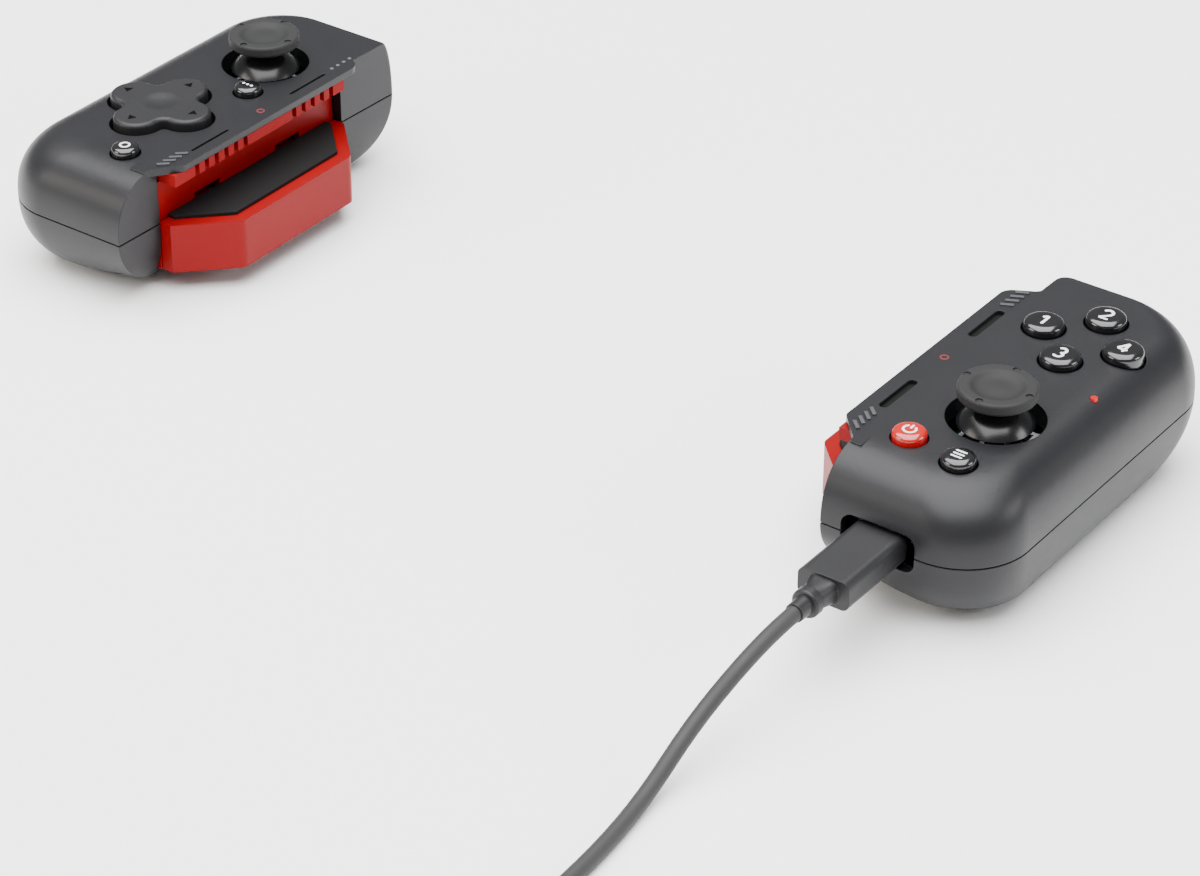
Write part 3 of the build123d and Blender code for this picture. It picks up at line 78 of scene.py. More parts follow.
def place_camera():
    """Camera on the right of the near side, turned by azimuth, lifted by elevation, rolled a little"""
    azimuth, elevation, roll = (math.radians(a) for a in (camera_azimuth, camera_elevation, camera_roll))
    back = Vector(
        (
            math.sin(azimuth) * math.cos(elevation),
            -math.cos(azimuth) * math.cos(elevation),
            math.sin(elevation),
        )
    )
    level = Vector((math.cos(azimuth), math.sin(azimuth), 0))
    upright = back.cross(level)
    right = math.cos(roll) * level + math.sin(roll) * upright
    up = math.cos(roll) * upright - math.sin(roll) * level
    data = bpy.data.cameras.new("product_camera")
    data.sensor_width = sensor_width
    data.lens = camera_lens
    data.clip_start = 0.02
    data.clip_end = 20
    camera = bpy.data.objects.new("product_camera", data)
    turned = Matrix((right, up, back)).transposed().to_4x4()
    camera.matrix_world = Matrix.Translation(camera_place) @ turned
    bpy.context.scene.collection.objects.link(camera)
    bpy.context.scene.camera = camera


place_camera()


# Meshes from numpy arrays


def show(name, mesh_or_curve):
    """Object at the origin, unturned and unscaled, with its place in its data"""
    piece = bpy.data.objects.new(name, mesh_or_curve)
    bpy.context.scene.collection.objects.link(piece)
    return piece


def mesh_from(name, points, faces, smooth=True):
    """Mesh of N x 3 points and M x 4 or M x 3 corner numbers"""
    mesh = bpy.data.meshes.new(name)
    points = np.asarray(points, float).reshape(-1, 3)
    faces = np.asarray(faces, int)
    corners = faces.shape[1]
    mesh.vertices.add(len(points))
    mesh.vertices.foreach_set("co", points.ravel())
    mesh.loops.add(faces.size)
    mesh.loops.foreach_set("vertex_index", faces.ravel())
    mesh.polygons.add(len(faces))
    mesh.polygons.foreach_set("loop_start", np.arange(0, faces.size, corners))
    mesh.polygons.foreach_set("use_smooth", np.full(len(faces), smooth))
    mesh.update(calc_edges=True)
    return mesh


def grid_faces(rows, columns, closed=False):
    """Corner numbers of the squares of a grid of rows x columns points, each row a ring if closed"""
    r = np.arange(rows - 1)[:, None]
    c = np.arange(columns if closed else columns - 1)[None, :]
    r_next = r + 1
    c_next = (c + 1) % columns
    squares = np.stack(np.broadcast_arrays(
        r * columns + c, r_next * columns + c, r_next * columns + c_next, r * columns + c_next
    ), axis=-1)
    return squares.reshape(-1, 4)


def joined(parts):
    """Points and faces of several surfaces as one, each a pair of points and squares"""
    counts = np.cumsum([0] + [len(points) for points, _ in parts])
    points = np.concatenate([points for points, _ in parts])
    faces = np.concatenate([faces + start for (_, faces), start in zip(parts, counts)])
    return points, faces


# The charging cord

cord_diameter = 3.4 * mm
cord_exit = (0.1063, -0.0760, 0.0174)
cord_route = [
    (0.1063, -0.0818, 0.0174),
    (0.1050, -0.0922, 0.0139),
    (0.1039, -0.1064, 0.0081),
    (0.1049, -0.1228, 0.0017),
    (0.1074, -0.1410, 0.0017),
    (0.1080, -0.1604, 0.0017),
    (0.1064, -0.1830, 0.0017),
    (0.1064, -0.2036, 0.0017),
]
coil_middle = (0.1320, -0.2070)
coil_outer_radius = 25.6 * mm
coil_pitch = 3.95 * mm
coil_layer_rise = 3.85 * mm
coil_quarters = 30
coil_climb_quarters = 2
points_per_quarter = 6
cord_tail = [(0.1576, -0.2020, 0.0050), (0.1576, -0.1975, 0.0041), (0.1576, -0.1930, 0.0041)]


def coil_points():
    """Points of the coil: a spiral in, one layer up, and out again

    The radius falls by a quarter pitch each quarter turn until the middle of the coil and grows
    again after it. The height steps up by one layer over two quarter turns in the middle.
    """
    quarters = np.arange(coil_quarters * points_per_quarter + 1) / points_per_quarter
    middle = coil_quarters / 2
    radius = coil_outer_radius - coil_pitch / 4 * (middle - np.abs(quarters - middle))
    angle = math.pi + full_turn / 4 * quarters
    climbed = np.clip((quarters - middle) / coil_climb_quarters + 0.5, 0, 1)
    height = cord_diameter / 2 + coil_layer_rise * climbed
    return np.stack(
        [coil_middle[0] + radius * np.cos(angle), coil_middle[1] + radius * np.sin(angle), height], axis=-1
    )


def make_cord():
    """One smooth curve from the plug's strain relief, over the table and through the coil's turns

    The round section is one metre in radius times each point's own radius, the cord's.
    """
    route = np.concatenate([[cord_exit], cord_route, coil_points(), cord_tail])
    curve = bpy.data.curves.new("charging_cord", "CURVE")
    curve.dimensions = "3D"
    curve.bevel_depth = 1.0
    curve.bevel_resolution = 8
    curve.resolution_u = 4
    curve.use_fill_caps = True
    spline = curve.splines.new("NURBS")
    spline.points.add(len(route) - 1)
    spline.points.foreach_set("co", np.column_stack([route, np.ones(len(route))]).ravel())
    spline.points.foreach_set("radius", np.full(len(route), cord_diameter / 2))
    spline.order_u = 3
    spline.use_endpoint_u = True
    return show("charging_cord", curve)


cord = make_cord()
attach(cord, "right_grip")
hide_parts("cord_tube", "cord_coil")


# Finishes


class Signal:
    """A value on its way through a finish: sums and comparisons on it add the nodes that do them"""

    def __init__(self, finish, socket):
        self.finish = finish
        self.socket = socket

    def _maths(self, operation, *values):
        return self.finish.node("ShaderNodeMath", {"operation": operation}, dict(enumerate(values)))

    def __add__(self, other):
        return self._maths("ADD", self, other)

    __radd__ = __add__

    def __sub__(self, other):
        return self._maths("SUBTRACT", self, other)

    def __rsub__(self, other):
        return self._maths("SUBTRACT", other, self)

    def __mul__(self, other):
        return self._maths("MULTIPLY", self, other)

    __rmul__ = __mul__

    def __truediv__(self, other):
        return self._maths("DIVIDE", self, other)

    def __rtruediv__(self, other):
        return self._maths("DIVIDE", other, self)

    def __gt__(self, other):
        return self._maths("GREATER_THAN", self, other)

    def __lt__(self, other):
        return self._maths("LESS_THAN", self, other)

    def __mod__(self, other):
        return self._maths("FLOORED_MODULO", self, other)

    def __abs__(self):
        return self._maths("ABSOLUTE", self)


class Finish:
    """One material: its shader, and one way to add any other node"""

    def __init__(self, name, **constants):
        self.material = bpy.data.materials.new(name)
        self.material.use_nodes = True
        self.tree = self.material.node_tree
        self.shader = next(n for n in self.tree.nodes if n.type == "BSDF_PRINCIPLED")
        self.place = self.node("ShaderNodeTexCoord", {}, {}, "Object")
        self.set(**constants)

    def node(self, kind, settings=None, inputs=None, output=0):
        """Node of a kind, with its settings made first, then the values or links of its sockets"""
        made = self.tree.nodes.new(kind)
        for key, value in (settings or {}).items():
            if key == "stops":
                self.fill_ramp(made.color_ramp, value)
            else:
                setattr(made, key, value)
        for key, value in (inputs or {}).items():
            self.feed(made.inputs[key], value)
        return Signal(self, made.outputs[output])

    def feed(self, socket, value):
        """Link a signal to a socket, or set the socket's own value"""
        if isinstance(value, Signal):
            self.tree.links.new(value.socket, socket)
        elif isinstance(value, tuple) and len(value) == 3 and len(socket.default_value) == 4:
            socket.default_value = (*value, 1)
        else:
            socket.default_value = value

    @staticmethod
    def fill_ramp(ramp, stops):
        """Stops of a colour ramp, each a place and a grey level or a colour"""
        while len(ramp.elements) < len(stops):
            ramp.elements.new(0.5)
        for element, (place, colour) in zip(ramp.elements, stops):
            element.position = place
            element.color = (*colour, 1) if isinstance(colour, tuple) else (colour, colour, colour, 1)

    def set(self, **values):
        """Feed the shader's sockets: base_color goes to Base Color and so on"""
        for key, value in values.items():
            self.feed(self.shader.inputs[key.replace("_", " ").title().replace("Ior", "IOR")], value)

    def noise(self, size, detail=2.0, roughness=0.5, place=None):
        """Soft random pattern from 0 to 1 with features of about this size"""
        return self.node(
            "ShaderNodeTexNoise",
            {},
            {"Vector": place or self.place, "Scale": 1 / size, "Detail": detail, "Roughness": roughness},
        )

    def cells(self, size):
        """Distance to the nearest of random spots, which lie about this far apart"""
        return self.node("ShaderNodeTexVoronoi", {}, {"Vector": self.place, "Scale": 1 / size}, "Distance")

    def stretched(self, x, y, z):
        """Object coordinates with each axis multiplied by its own factor"""
        return self.node("ShaderNodeMapping", {}, {"Vector": self.place, "Scale": Vector((x, y, z))})

    def mixed(self, share, first, second):
        """Colour between two colours, each given as numbers or as a signal"""
        first, second = (c if isinstance(c, Signal) else (*c, 1) for c in (first, second))
        return self.node("ShaderNodeMix", {"data_type": "RGBA"}, {0: share, 6: first, 7: second}, 2)

    def split(self):
        """The X, Y and Z of the object coordinates as three signals"""
        apart = self.node("ShaderNodeSeparateXYZ", {}, {0: self.place})
        return [Signal(self, output) for output in apart.socket.node.outputs]

    def relief(self, height, depth, under=None):
        """Bumps of a height signal, of a depth in metres, on top of another normal if there is one"""
        inputs = {"Height": height, "Distance": depth, "Strength": 1.0}
        if under is not None:
            inputs["Normal"] = under
        return self.node("ShaderNodeBump", {}, inputs)

    def soft_edges(self, radius):
        """Normal that rolls over each sharp edge with a small radius, as a mould leaves it"""
        return self.node("ShaderNodeBevel", {"samples": 6}, {"Radius": radius})


slot_middle = (91.4 * mm, 17.0 * mm)
slot_half_size = (1.7 * mm, 6.6 * mm)
slot_top = 31.4 * mm
rib_floor = 31.75 * mm
# Painted shade: near-black colour for the inside of the lip slots
slot_painted_shade_colour = (0.0005, 0.0005, 0.0005)
slot_dullness = 0.5
# Painted highlight: paler colour for the raised ribs on the lips
rib_painted_highlight = (0.050, 0.050, 0.056)


def painted_slot_shade_mask(finish):
    """Mask for the painted shade: 1 on the walls and floor of the four long slots in the lips, 0 elsewhere,
    by place alone
    """
    x, y, z = finish.split()
    across = abs(abs(x) - slot_middle[0]) < slot_half_size[0]
    along = abs(abs(y) - slot_middle[1]) < slot_half_size[1]
    return across * along * (z < slot_top)


def moulded_plastic(name, dark, light, grain, depth, smooth, rough, edge, painted_lip_light=False, **constants):
    """Injection-moulded plastic: fine spark grain, slow drifts of tone and gloss, soft edges

    A shell with slots gets painted shade inside its lip's slots: near-black colour and duller gloss, where
    hardly any light comes back out.
    Its raised ribs get a painted highlight: a paler colour than the face around them.
    """
    finish = Finish(name, **constants)
    drift = finish.noise(30 * mm, 3.0, 0.6)
    speck = finish.noise(0.5 * mm, 2.0, 0.7)
    rubbed = finish.noise(9 * mm, 4.0, 0.62)
    colour = finish.mixed(drift * 0.6 + speck * 0.4, dark, light)
    gloss = smooth + (rough - smooth) * rubbed
    if painted_lip_light:
        painted_slot_shade = painted_slot_shade_mask(finish)
        height = finish.split()[2]
        # Painted highlight: raised ribs above the face are made paler
        colour = finish.mixed(height > rib_floor, colour, rib_painted_highlight)
        # Painted shade: near black inside the lip slots
        colour = finish.mixed(painted_slot_shade, colour, slot_painted_shade_colour)
        gloss = gloss + painted_slot_shade * slot_dullness
    finish.set(base_color=colour, roughness=gloss)
    texture = finish.noise(grain, 3.0, 0.6) + finish.cells(grain * 1.7) * 0.5
    finish.set(normal=finish.relief(texture, depth, finish.soft_edges(edge)))
    return finish.material


def polished_plastic(name, dark, light, edge, **constants):
    """Glossy cap: clear coat, hairline scratches from wiping, a little dust in the gloss"""
    finish = Finish(name, **constants)
    drift = finish.noise(4 * mm, 2.0, 0.5)
    scratches = finish.noise(0.25 * mm, 2.0, 0.6, finish.stretched(1, 0.06, 1))
    dust = finish.cells(1.1 * mm)
    finish.set(
        base_color=finish.mixed(drift, dark, light),
        roughness=0.13 + 0.07 * scratches + 0.10 * (dust < 0.06),
    )
    finish.set(normal=finish.relief(scratches, 0.002 * mm, finish.soft_edges(edge)))
    return finish.material


def soft_rubber(name, dark, light, grain, depth, edge, **constants):
    """Rubber: pale bloom in patches, a fine matt skin and small pits"""
    finish = Finish(name, **constants)
    bloom = finish.noise(6 * mm, 4.0, 0.6)
    skin = finish.noise(grain, 3.0, 0.65)
    pits = finish.cells(grain * 3)
    finish.set(
        base_color=finish.mixed(bloom * 0.7 + skin * 0.3, dark, light),
        roughness=0.62 + 0.16 * bloom - 0.08 * skin,
    )
    height = skin + (pits < 0.22) * -0.6
    finish.set(normal=finish.relief(height, depth, finish.soft_edges(edge)))
    return finish.material


def worked_metal(name, dark, light, along, edge, **constants):
    """Metal with drawn or ground lines along one axis and small stains"""
    finish = Finish(name, metallic=1.0, **constants)
    stretch = [1.0, 1.0, 1.0]
    stretch[along] = 0.03
    lines = finish.noise(0.12 * mm, 3.0, 0.7, finish.stretched(*stretch))
    stains = finish.noise(3 * mm, 3.0, 0.6)
    finish.set(
        base_color=finish.mixed(lines * 0.5 + stains * 0.5, dark, light),
        roughness=0.2 + 0.16 * lines + 0.1 * stains,
    )
    finish.set(normal=finish.relief(lines, 0.004 * mm, finish.soft_edges(edge)))
    return finish.material


def circuit_board():
    """Solder mask with copper lines under it, plated pads and a fine weave"""
    finish = Finish("board_green", roughness=0.35, coat_weight=0.4, coat_roughness=0.15)
    x, y, _ = finish.split()
    rows = abs((y / (1.3 * mm)) % 1 - 0.5)
    columns = abs((x / (1.9 * mm)) % 1 - 0.5)
    patches = finish.cells(5 * mm) < 0.45
    lines = (rows < 0.12) * patches + (columns < 0.1) * (1 - patches)
    pads = finish.cells(2.6 * mm) < 0.14
    mask = finish.mixed(lines, (0.010, 0.075, 0.032), (0.030, 0.150, 0.060))
    finish.set(base_color=finish.mixed(pads, mask, (0.62, 0.55, 0.38)), metallic=pads * 0.8)
    finish.set(normal=finish.relief(lines * 0.5 + pads, 0.03 * mm))
    return finish.material


def battery_wrap():
    """Shrink film over a pouch cell: long creases and a satin sheen"""
    finish = Finish("battery_wrap", coat_weight=0.3, coat_roughness=0.25)
    creases = finish.noise(1.6 * mm, 4.0, 0.6, finish.stretched(1, 0.25, 1))
    finish.set(
        base_color=finish.mixed(creases, (0.16, 0.17, 0.19), (0.30, 0.31, 0.34)),
        roughness=0.3 + 0.2 * creases,
    )
    finish.set(normal=finish.relief(creases, 0.08 * mm, finish.soft_edges(0.3 * mm)))
    return finish.material


def lit_window(name, glow, strength, base):
    """Light pipe: a bright middle behind a slightly cloudy lens"""
    finish = Finish(name, roughness=0.25, emission_strength=strength)
    cloud = finish.noise(0.4 * mm, 2.0, 0.5)
    finish.set(
        base_color=finish.mixed(cloud, base, tuple(0.8 * c for c in base)),
        emission_color=finish.mixed(cloud, glow, tuple(0.7 * c for c in glow)),
    )
    return finish.material


def printed_ink(name, ink, worn, **constants):
    """Pad-printed ink: a slightly uneven film"""
    finish = Finish(name, **constants)
    wear = finish.noise(0.5 * mm, 3.0, 0.6)
    finish.set(base_color=finish.mixed(wear, ink, worn), roughness=0.35 + 0.2 * wear)
    finish.set(normal=finish.relief(wear, 0.004 * mm))
    return finish.material


finishes = {
    "shell_black": moulded_plastic(
        "shell_black", (0.0070, 0.0070, 0.0086), (0.0100, 0.0100, 0.0120),
        grain=0.22 * mm, depth=0.010 * mm, smooth=0.36, rough=0.44, edge=0.25 * mm, painted_lip_light=True,
        specular_ior_level=0.28,
    ),
    "control_black": moulded_plastic(
        "control_black", (0.0070, 0.0070, 0.0080), (0.0100, 0.0100, 0.0115),
        grain=0.16 * mm, depth=0.008 * mm, smooth=0.42, rough=0.52, edge=0.25 * mm,
        specular_ior_level=0.32,
    ),
    "inner_black": moulded_plastic(
        "inner_black", (0.006, 0.006, 0.006), (0.010, 0.010, 0.010),
        grain=0.3 * mm, depth=0.010 * mm, smooth=0.45, rough=0.6, edge=0.15 * mm, specular_ior_level=0.25,
    ),
    "plug_black": moulded_plastic(
        "plug_black", (0.0070, 0.0070, 0.0080), (0.0105, 0.0105, 0.0115),
        grain=0.18 * mm, depth=0.008 * mm, smooth=0.38, rough=0.5, edge=0.3 * mm, specular_ior_level=0.32,
    ),
    "jaw_red": moulded_plastic(
        "jaw_red", (0.165, 0.0006, 0.0014), (0.205, 0.0010, 0.0020),
        grain=0.2 * mm, depth=0.008 * mm, smooth=0.34, rough=0.46, edge=0.25 * mm, specular_ior_level=0.12,
    ),
    "gloss_black": polished_plastic(
        "gloss_black", (0.004, 0.004, 0.005), (0.006, 0.006, 0.007), edge=0.15 * mm,
        coat_weight=0.4, coat_roughness=0.08,
    ),
    "dome_black": moulded_plastic(
        "dome_black", (0.004, 0.004, 0.005), (0.006, 0.006, 0.007),
        grain=0.4 * mm, depth=0.003 * mm, smooth=0.22, rough=0.28, edge=0.15 * mm, specular_ior_level=0.35,
    ),
    "button_red": polished_plastic(
        "button_red", (0.34, 0.0020, 0.0020), (0.40, 0.0030, 0.0030), edge=0.15 * mm,
        coat_weight=0.6, coat_roughness=0.06,
    ),
    "stick_rubber": soft_rubber(
        "stick_rubber", (0.0075, 0.0075, 0.0080), (0.0120, 0.0120, 0.0128),
        grain=0.15 * mm, depth=0.012 * mm, edge=0.2 * mm, specular_ior_level=0.3,
    ),
    "pad_red": soft_rubber(
        "pad_red", (0.170, 0.0006, 0.0014), (0.215, 0.0010, 0.0020),
        grain=0.2 * mm, depth=0.010 * mm, edge=0.15 * mm, specular_ior_level=0.15,
    ),
    "pad_dark": soft_rubber(
        "pad_dark", (0.0045, 0.0045, 0.0048), (0.0070, 0.0070, 0.0074),
        grain=0.25 * mm, depth=0.02 * mm, edge=0.15 * mm, specular_ior_level=0.15,
    ),
    "membrane_grey": soft_rubber(
        "membrane_grey", (0.20, 0.20, 0.21), (0.28, 0.28, 0.29),
        grain=0.2 * mm, depth=0.01 * mm, edge=0.15 * mm,
    ),
    "cord_black": soft_rubber(
        "cord_black", (0.012, 0.012, 0.0125), (0.018, 0.018, 0.019),
        grain=0.12 * mm, depth=0.006 * mm, edge=0.1 * mm,
    ),
    "steel": worked_metal("steel", (0.42, 0.42, 0.43), (0.62, 0.62, 0.64), along=1, edge=0.08 * mm),
    "screw_steel": worked_metal(
        "screw_steel", (0.20, 0.20, 0.21), (0.36, 0.36, 0.37), along=0, edge=0.08 * mm
    ),
    "board_green": circuit_board(),
    "battery_wrap": battery_wrap(),
    "light_clear": lit_window("light_clear", (0.9, 0.95, 1.0), 0.02, (0.10, 0.10, 0.11)),
    "light_red": lit_window("light_red", (1.0, 0.01, 0.015), 0.7, (0.2, 0.002, 0.004)),
    "ink_white": printed_ink("ink_white", (0.80, 0.80, 0.80), (0.62, 0.62, 0.62)),
    "ink_red": printed_ink("ink_red", (0.16, 0.006, 0.008), (0.09, 0.006, 0.007)),
    # Painted shade: black film standing in for the shade in the directional pad's indented arrows
    "ink_black": printed_ink(
        "ink_black", (0.0008, 0.0008, 0.0008), (0.0015, 0.0015, 0.0015), specular_ior_level=0.05
    ),
}


def paint(piece, name):
    """Give a piece one finish in all its slots"""
    piece.data.materials.clear()
    piece.data.materials.append(finishes[name])


slot_of_node = {part["node"]: part["material_slot"] for part in frame["record"]["subparts"]}
own_finish = {"left_stick_rocker": "dome_black", "right_stick_rocker": "dome_black"}
for node_name, node in frame["nodes"].items():
    for slot in node.material_slots:
        slot.material = finishes[own_finish.get(node_name, slot_of_node[node_name])]
paint(cord, "cord_black")


# Jaw springs between grip and jaw

spring_radius = 2.0 * mm
spring_wire = 0.3 * mm
spring_turns = 5
rings_per_turn = 36
points_per_ring = 12
closing_rings = 4


def spring_surface(x, y, low, high):
    """Round wire along a helix about an upright axis, from a lowest to a highest height

    The wire's middle climbs evenly from low to high as it turns. Its section's radius falls as the
    square root of 1 - t squared over the last few rings at either end, so that both ends are closed.
    """
    turned = np.linspace(0, 1, spring_turns * rings_per_turn + 1)
    angle = full_turn * spring_turns * turned
    ring = np.linspace(0, full_turn, points_per_ring + 1)[:-1]
    into = np.clip(1 - np.minimum(turned, 1 - turned) / turned[closing_rings], 0, 1)
    section = spring_wire * np.sqrt(np.maximum(1 - into**2, 1e-4))
    out = spring_radius + section[:, None] * np.cos(ring)
    up = low + (high - low) * turned[:, None] + section[:, None] * np.sin(ring)
    points = np.stack([x + out * np.cos(angle)[:, None], y + out * np.sin(angle)[:, None], up], axis=-1)
    return points.reshape(-1, 3), grid_faces(len(turned), len(ring), closed=True)


def jaw_springs(side):
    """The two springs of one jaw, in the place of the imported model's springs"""
    node_name = f"{side}_jaw_springs"
    low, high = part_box(node_name)
    reach = spring_radius + spring_wire
    x = (low.x + high.x) / 2
    ends = (low.z + spring_wire, high.z - spring_wire)
    springs = [spring_surface(x, y, *ends) for y in (low.y + reach, high.y - reach)]
    piece = show(f"{side}_soft_jaw_springs", mesh_from(node_name, *joined(springs)))
    paint(piece, slot_of_node[node_name])
    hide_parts(node_name)
    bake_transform(piece)


jaw_springs("left")
jaw_springs("right")


# Printed marks


def line(*corners, spacing=0.08):
    """Points along straight runs between corners, in millimetres, at a steady spacing"""
    corners = np.array(corners, float)
    runs = np.linalg.norm(np.diff(corners, axis=0), axis=1)
    reached = np.concatenate([[0], np.cumsum(runs)])
    along = np.linspace(0, reached[-1], max(int(reached[-1] / spacing), 2) + 1)
    return np.stack([np.interp(along, reached, corners[:, k]) for k in (0, 1)], axis=-1)


def arc(centre, radius, start, end, spacing=0.08):
    """Points along an arc from one angle to another, in degrees"""
    count = max(int(abs(math.radians(end - start)) * radius / spacing), 4) + 1
    angle = np.radians(np.linspace(start, end, count))
    return np.stack([centre[0] + radius * np.cos(angle), centre[1] + radius * np.sin(angle)], axis=-1)


def ribbon(path, width):
    """Flat band along a path with round ends: each point moves sideways by the half width

    The half width is full along the path and falls as the square root of 1 - t squared in the last
    half width at either end, where t runs from 0 to 1, so that the ends are round.
    """
    step = np.linalg.norm(np.diff(path, axis=0), axis=1)
    along = np.concatenate([[0], np.cumsum(step)])
    half = width / 2
    ends = half * (1 - np.cos(np.linspace(0, math.pi / 2, 7)))
    between = along[(along > half) & (along < along[-1] - half)]
    stations = np.unique(np.concatenate([ends, between, along[-1] - ends]))
    points = np.stack([np.interp(stations, along, path[:, k]) for k in (0, 1)], axis=-1)
    heading = np.gradient(points, stations, axis=0)
    heading /= np.linalg.norm(heading, axis=1)[:, None]
    sideways = np.stack([-heading[:, 1], heading[:, 0]], axis=-1)
    into = np.clip(1 - np.minimum(stations, along[-1] - stations) / half, 0, 1)
    reach = half * np.sqrt(np.maximum(1 - into**2, 1e-6))
    across = np.linspace(-1, 1, 5)
    plan = points[:, None, :] + sideways[:, None, :] * (reach[:, None] * across)[..., None]
    return plan, grid_faces(len(stations), len(across))


def dot(centre, radius):
    """Round spot: rings of points from a small middle to the edge"""
    angle = np.linspace(0, full_turn, 25)[:-1]
    ring = radius * np.linspace(0.02, 1, 4)
    plan = np.stack(
        [centre[0] + ring[:, None] * np.cos(angle), centre[1] + ring[:, None] * np.sin(angle)], axis=-1
    )
    return plan, grid_faces(len(ring), len(angle), closed=True)


def wedge(centre, length, width, heading):
    """Small triangle: its width falls from full at the back to almost nothing at the point"""
    along = np.linspace(-0.5, 0.5, 8)
    across = np.linspace(-0.5, 0.5, 5)
    forward = np.array([math.cos(math.radians(heading)), math.sin(math.radians(heading))])
    sideways = np.array([-forward[1], forward[0]])
    half = width * (0.51 - along)
    plan = (
        np.array(centre)
        + (along * length)[:, None, None] * forward
        + (half[:, None] * across)[..., None] * sideways
    )
    return plan[:, ::-1], grid_faces(len(along), len(across))


def crown_height(node_name, centre, distance):
    """Height of a round piece's top at a distance from its axis, read from its highest points"""
    mesh = frame["nodes"][node_name].data
    points = np.empty(len(mesh.vertices) * 3)
    mesh.vertices.foreach_get("co", points)
    points = points.reshape(-1, 3)
    away = np.hypot(points[:, 0] - centre[0], points[:, 1] - centre[1])
    order = np.argsort(away)
    away, height = away[order], points[order, 2]
    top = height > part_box(node_name)[1].z - 1.2 * mm
    return np.interp(distance, away[top], height[top])


ink_thickness = 0.03 * mm


def print_marks(name, node_name, body, strokes, ink, flat_at=None, centre=None):
    """Ink film of several strokes on a piece's top: it follows the crown, or lies flat at a height

    strokes are ribbons or dots in millimetres about the piece's middle. Each one is lifted a hair
    more than the one before, so that crossing strokes never share one surface.
    """
    low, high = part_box(node_name)
    if centre is None:
        centre = ((low.x + high.x) / 2, (low.y + high.y) / 2)
    parts = []
    for count, (plan, faces) in enumerate(strokes):
        flat = plan.reshape(-1, 2) * mm
        distance = np.hypot(flat[:, 0], flat[:, 1])
        top = crown_height(node_name, centre, distance) if flat_at is None else np.full(len(flat), flat_at)
        height = top + ink_thickness * (0.6 + 0.12 * count)
        parts.append((np.column_stack([flat[:, 0] + centre[0], flat[:, 1] + centre[1], height]), faces))
    points, faces = joined(parts)
    piece = show(name, mesh_from(name, points, faces))
    film = piece.modifiers.new("film", "SOLIDIFY")
    film.thickness = 2 * ink_thickness
    film.offset = -1
    paint(piece, ink)
    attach(piece, body)
    return piece


figure_width = 0.64
figure_one = [
    ribbon(line((0.25, -1.75), (0.25, 1.75)), figure_width),
    ribbon(line((0.25, 1.6), (-0.85, 0.85)), figure_width),
]
figure_two = [
    ribbon(
        np.concatenate([arc((0, 0.75), 1.0, 165, -38), line((0.79, 0.13), (-1.0, -1.72))[1:]]), figure_width
    ),
    ribbon(line((-1.0, -1.72), (1.15, -1.72)), figure_width),
]
figure_three = [
    ribbon(arc((-0.1, 0.88), 0.88, 150, -92), figure_width),
    ribbon(arc((-0.1, -0.84), 0.92, 92, -150), figure_width),
]
figure_four = [
    ribbon(line((0.45, 1.75), (-1.15, -0.75)), figure_width),
    ribbon(line((-1.15, -0.75), (1.2, -0.75)), figure_width),
    ribbon(line((0.45, 1.75), (0.45, -1.75)), figure_width),
]
on_off_sign = [ribbon(arc((0, 0), 1.3, 122, 418), 0.5), ribbon(line((0, 0.3), (0, 1.7)), 0.5)]
three_bars = [ribbon(line((-1.3, y), (1.3, y)), 0.46) for y in (-1.05, 0, 1.05)]
three_dots = [dot((x, 0), 0.36) for x in (-1.15, 0, 1.15)]
plain_ring = [ribbon(arc((0, 0), 1.05, 90, 450), 0.5)]

for button, figure in (
    ("button_x", figure_one),
    ("button_y", figure_two),
    ("button_a", figure_three),
    ("button_b", figure_four),
    ("power_button", on_off_sign),
    ("menu_button", three_bars),
):
    print_marks(f"mark_{button}", f"right_{button}", f"right_{button}_key", figure, "ink_white")
print_marks("mark_view_button", "left_view_button", "left_view_button_key", three_dots, "ink_white")
print_marks("mark_share_button", "left_share_button", "left_share_button_key", plain_ring, "ink_white")

# Four small dark arrows near the ends of the directional pad's lobes: painted shade of the indented arrows,
# laid on as a thin black film
arrow_place = 10.1
arrow_length = 1.7
arrow_width = 2.0
arrows = [
    wedge(centre, arrow_length, arrow_width, heading)
    for heading, centre in (
        (0, (arrow_place, 0)), (90, (0, arrow_place)), (180, (-arrow_place, 0)), (270, (0, -arrow_place))
    )
]
print_marks("mark_dpad", "left_dpad", "left_dpad_pad", arrows, "ink_black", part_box("left_dpad")[1].z)

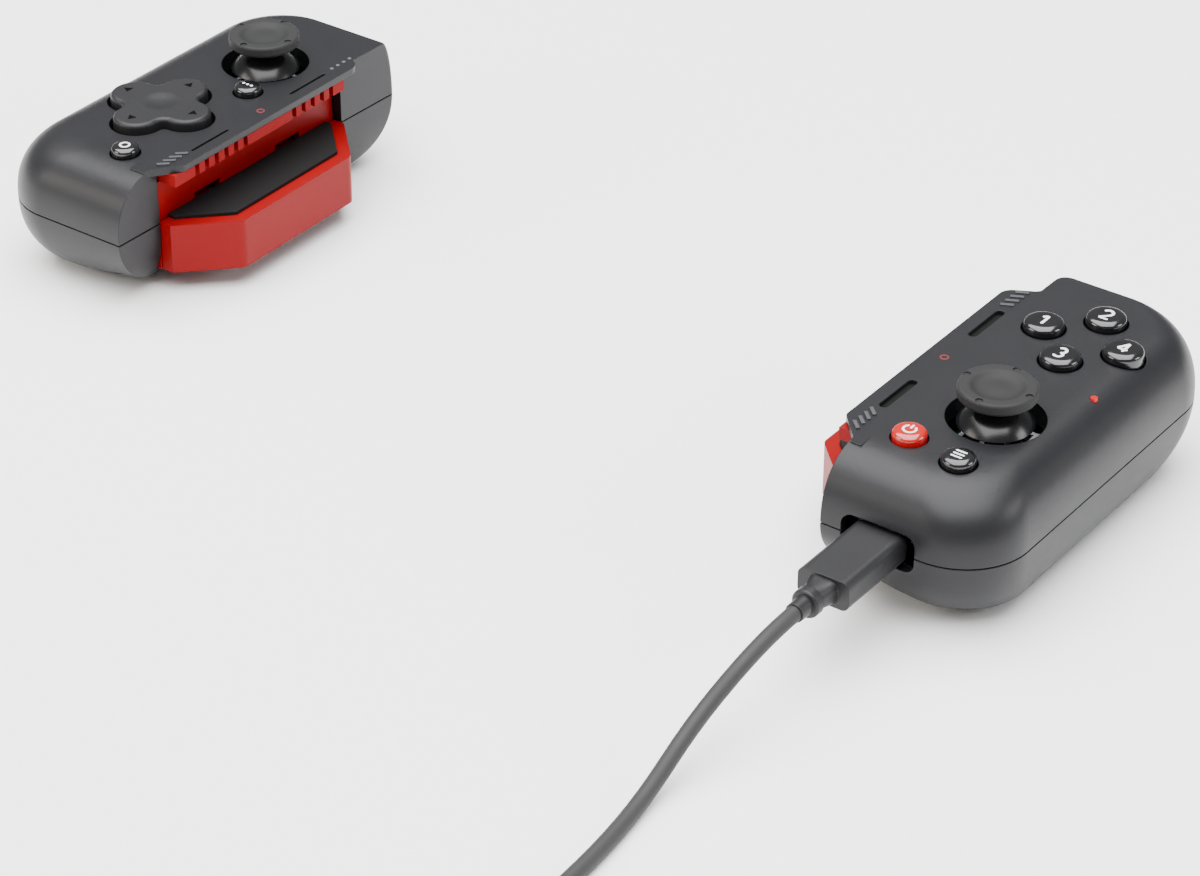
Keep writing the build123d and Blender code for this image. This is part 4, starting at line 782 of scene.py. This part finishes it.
# One small red ring in the middle of each lip
face_height = 31.6 * mm
small_ring = [ribbon(arc((0, 0), 0.8, 90, 450), 0.4)]
for side, centre in (("left", (-90.6 * mm, 0.5 * mm)), ("right", (91.6 * mm, 0.5 * mm))):
    shell, grip = f"{side}_top_shell", f"{side}_grip"
    print_marks(f"mark_{side}_lip", shell, grip, small_ring, "ink_red", face_height, centre)


# Floor and light


def floor():
    """Wide pale table top with a barely visible tooth"""
    half = 3.0
    across = np.linspace(-half, half, 9)
    x, y = np.meshgrid(across, across, indexing="ij")
    points = np.stack([x, y, np.full_like(x, -0.05 * mm)], axis=-1)
    faces = grid_faces(len(across), len(across))[:, ::-1]
    piece = show("table_top", mesh_from("table_top", points, faces))
    finish = Finish("table_white", roughness=0.75)
    tooth = finish.noise(2 * mm, 2.0, 0.5)
    finish.set(base_color=finish.mixed(tooth, (0.93, 0.93, 0.93), (0.95, 0.95, 0.95)))
    piece.data.materials.append(finish.material)


def soft_light(name, place, target, size, power, tint=(1, 1, 1)):
    """Softbox: a rectangular area light at a place, facing a target"""
    data = bpy.data.lights.new(name, "AREA")
    data.shape = "RECTANGLE"
    data.size, data.size_y = size
    data.energy = power
    data.color = tint
    lamp = bpy.data.objects.new(name, data)
    lamp.location = place
    lamp.rotation_euler = (Vector(target) - Vector(place)).to_track_quat("-Z", "Y").to_euler()
    bpy.context.scene.collection.objects.link(lamp)


def studio():
    """Dim surroundings, one large softbox overhead and two small ones that draw the rolled edges"""
    world = bpy.data.worlds.new("studio")
    world.use_nodes = True
    sky = next(n for n in world.node_tree.nodes if n.type == "BACKGROUND")
    sky.inputs["Color"].default_value = (1, 1, 1, 1)
    sky.inputs["Strength"].default_value = 0.35
    bpy.context.scene.world = world
    soft_light("overhead", (-0.1, -0.1, 1.5), (0, 0, 0), (2.4, 2.0), 140)
    soft_light("near_left", (-0.75, -0.95, 0.55), (0, 0, 0.01), (0.7, 0.5), 9, (1.0, 0.93, 0.84))
    soft_light("right_rim", (0.9, 0.35, 0.45), (0.1, 0, 0.02), (0.4, 0.3), 4)


floor()
studio()
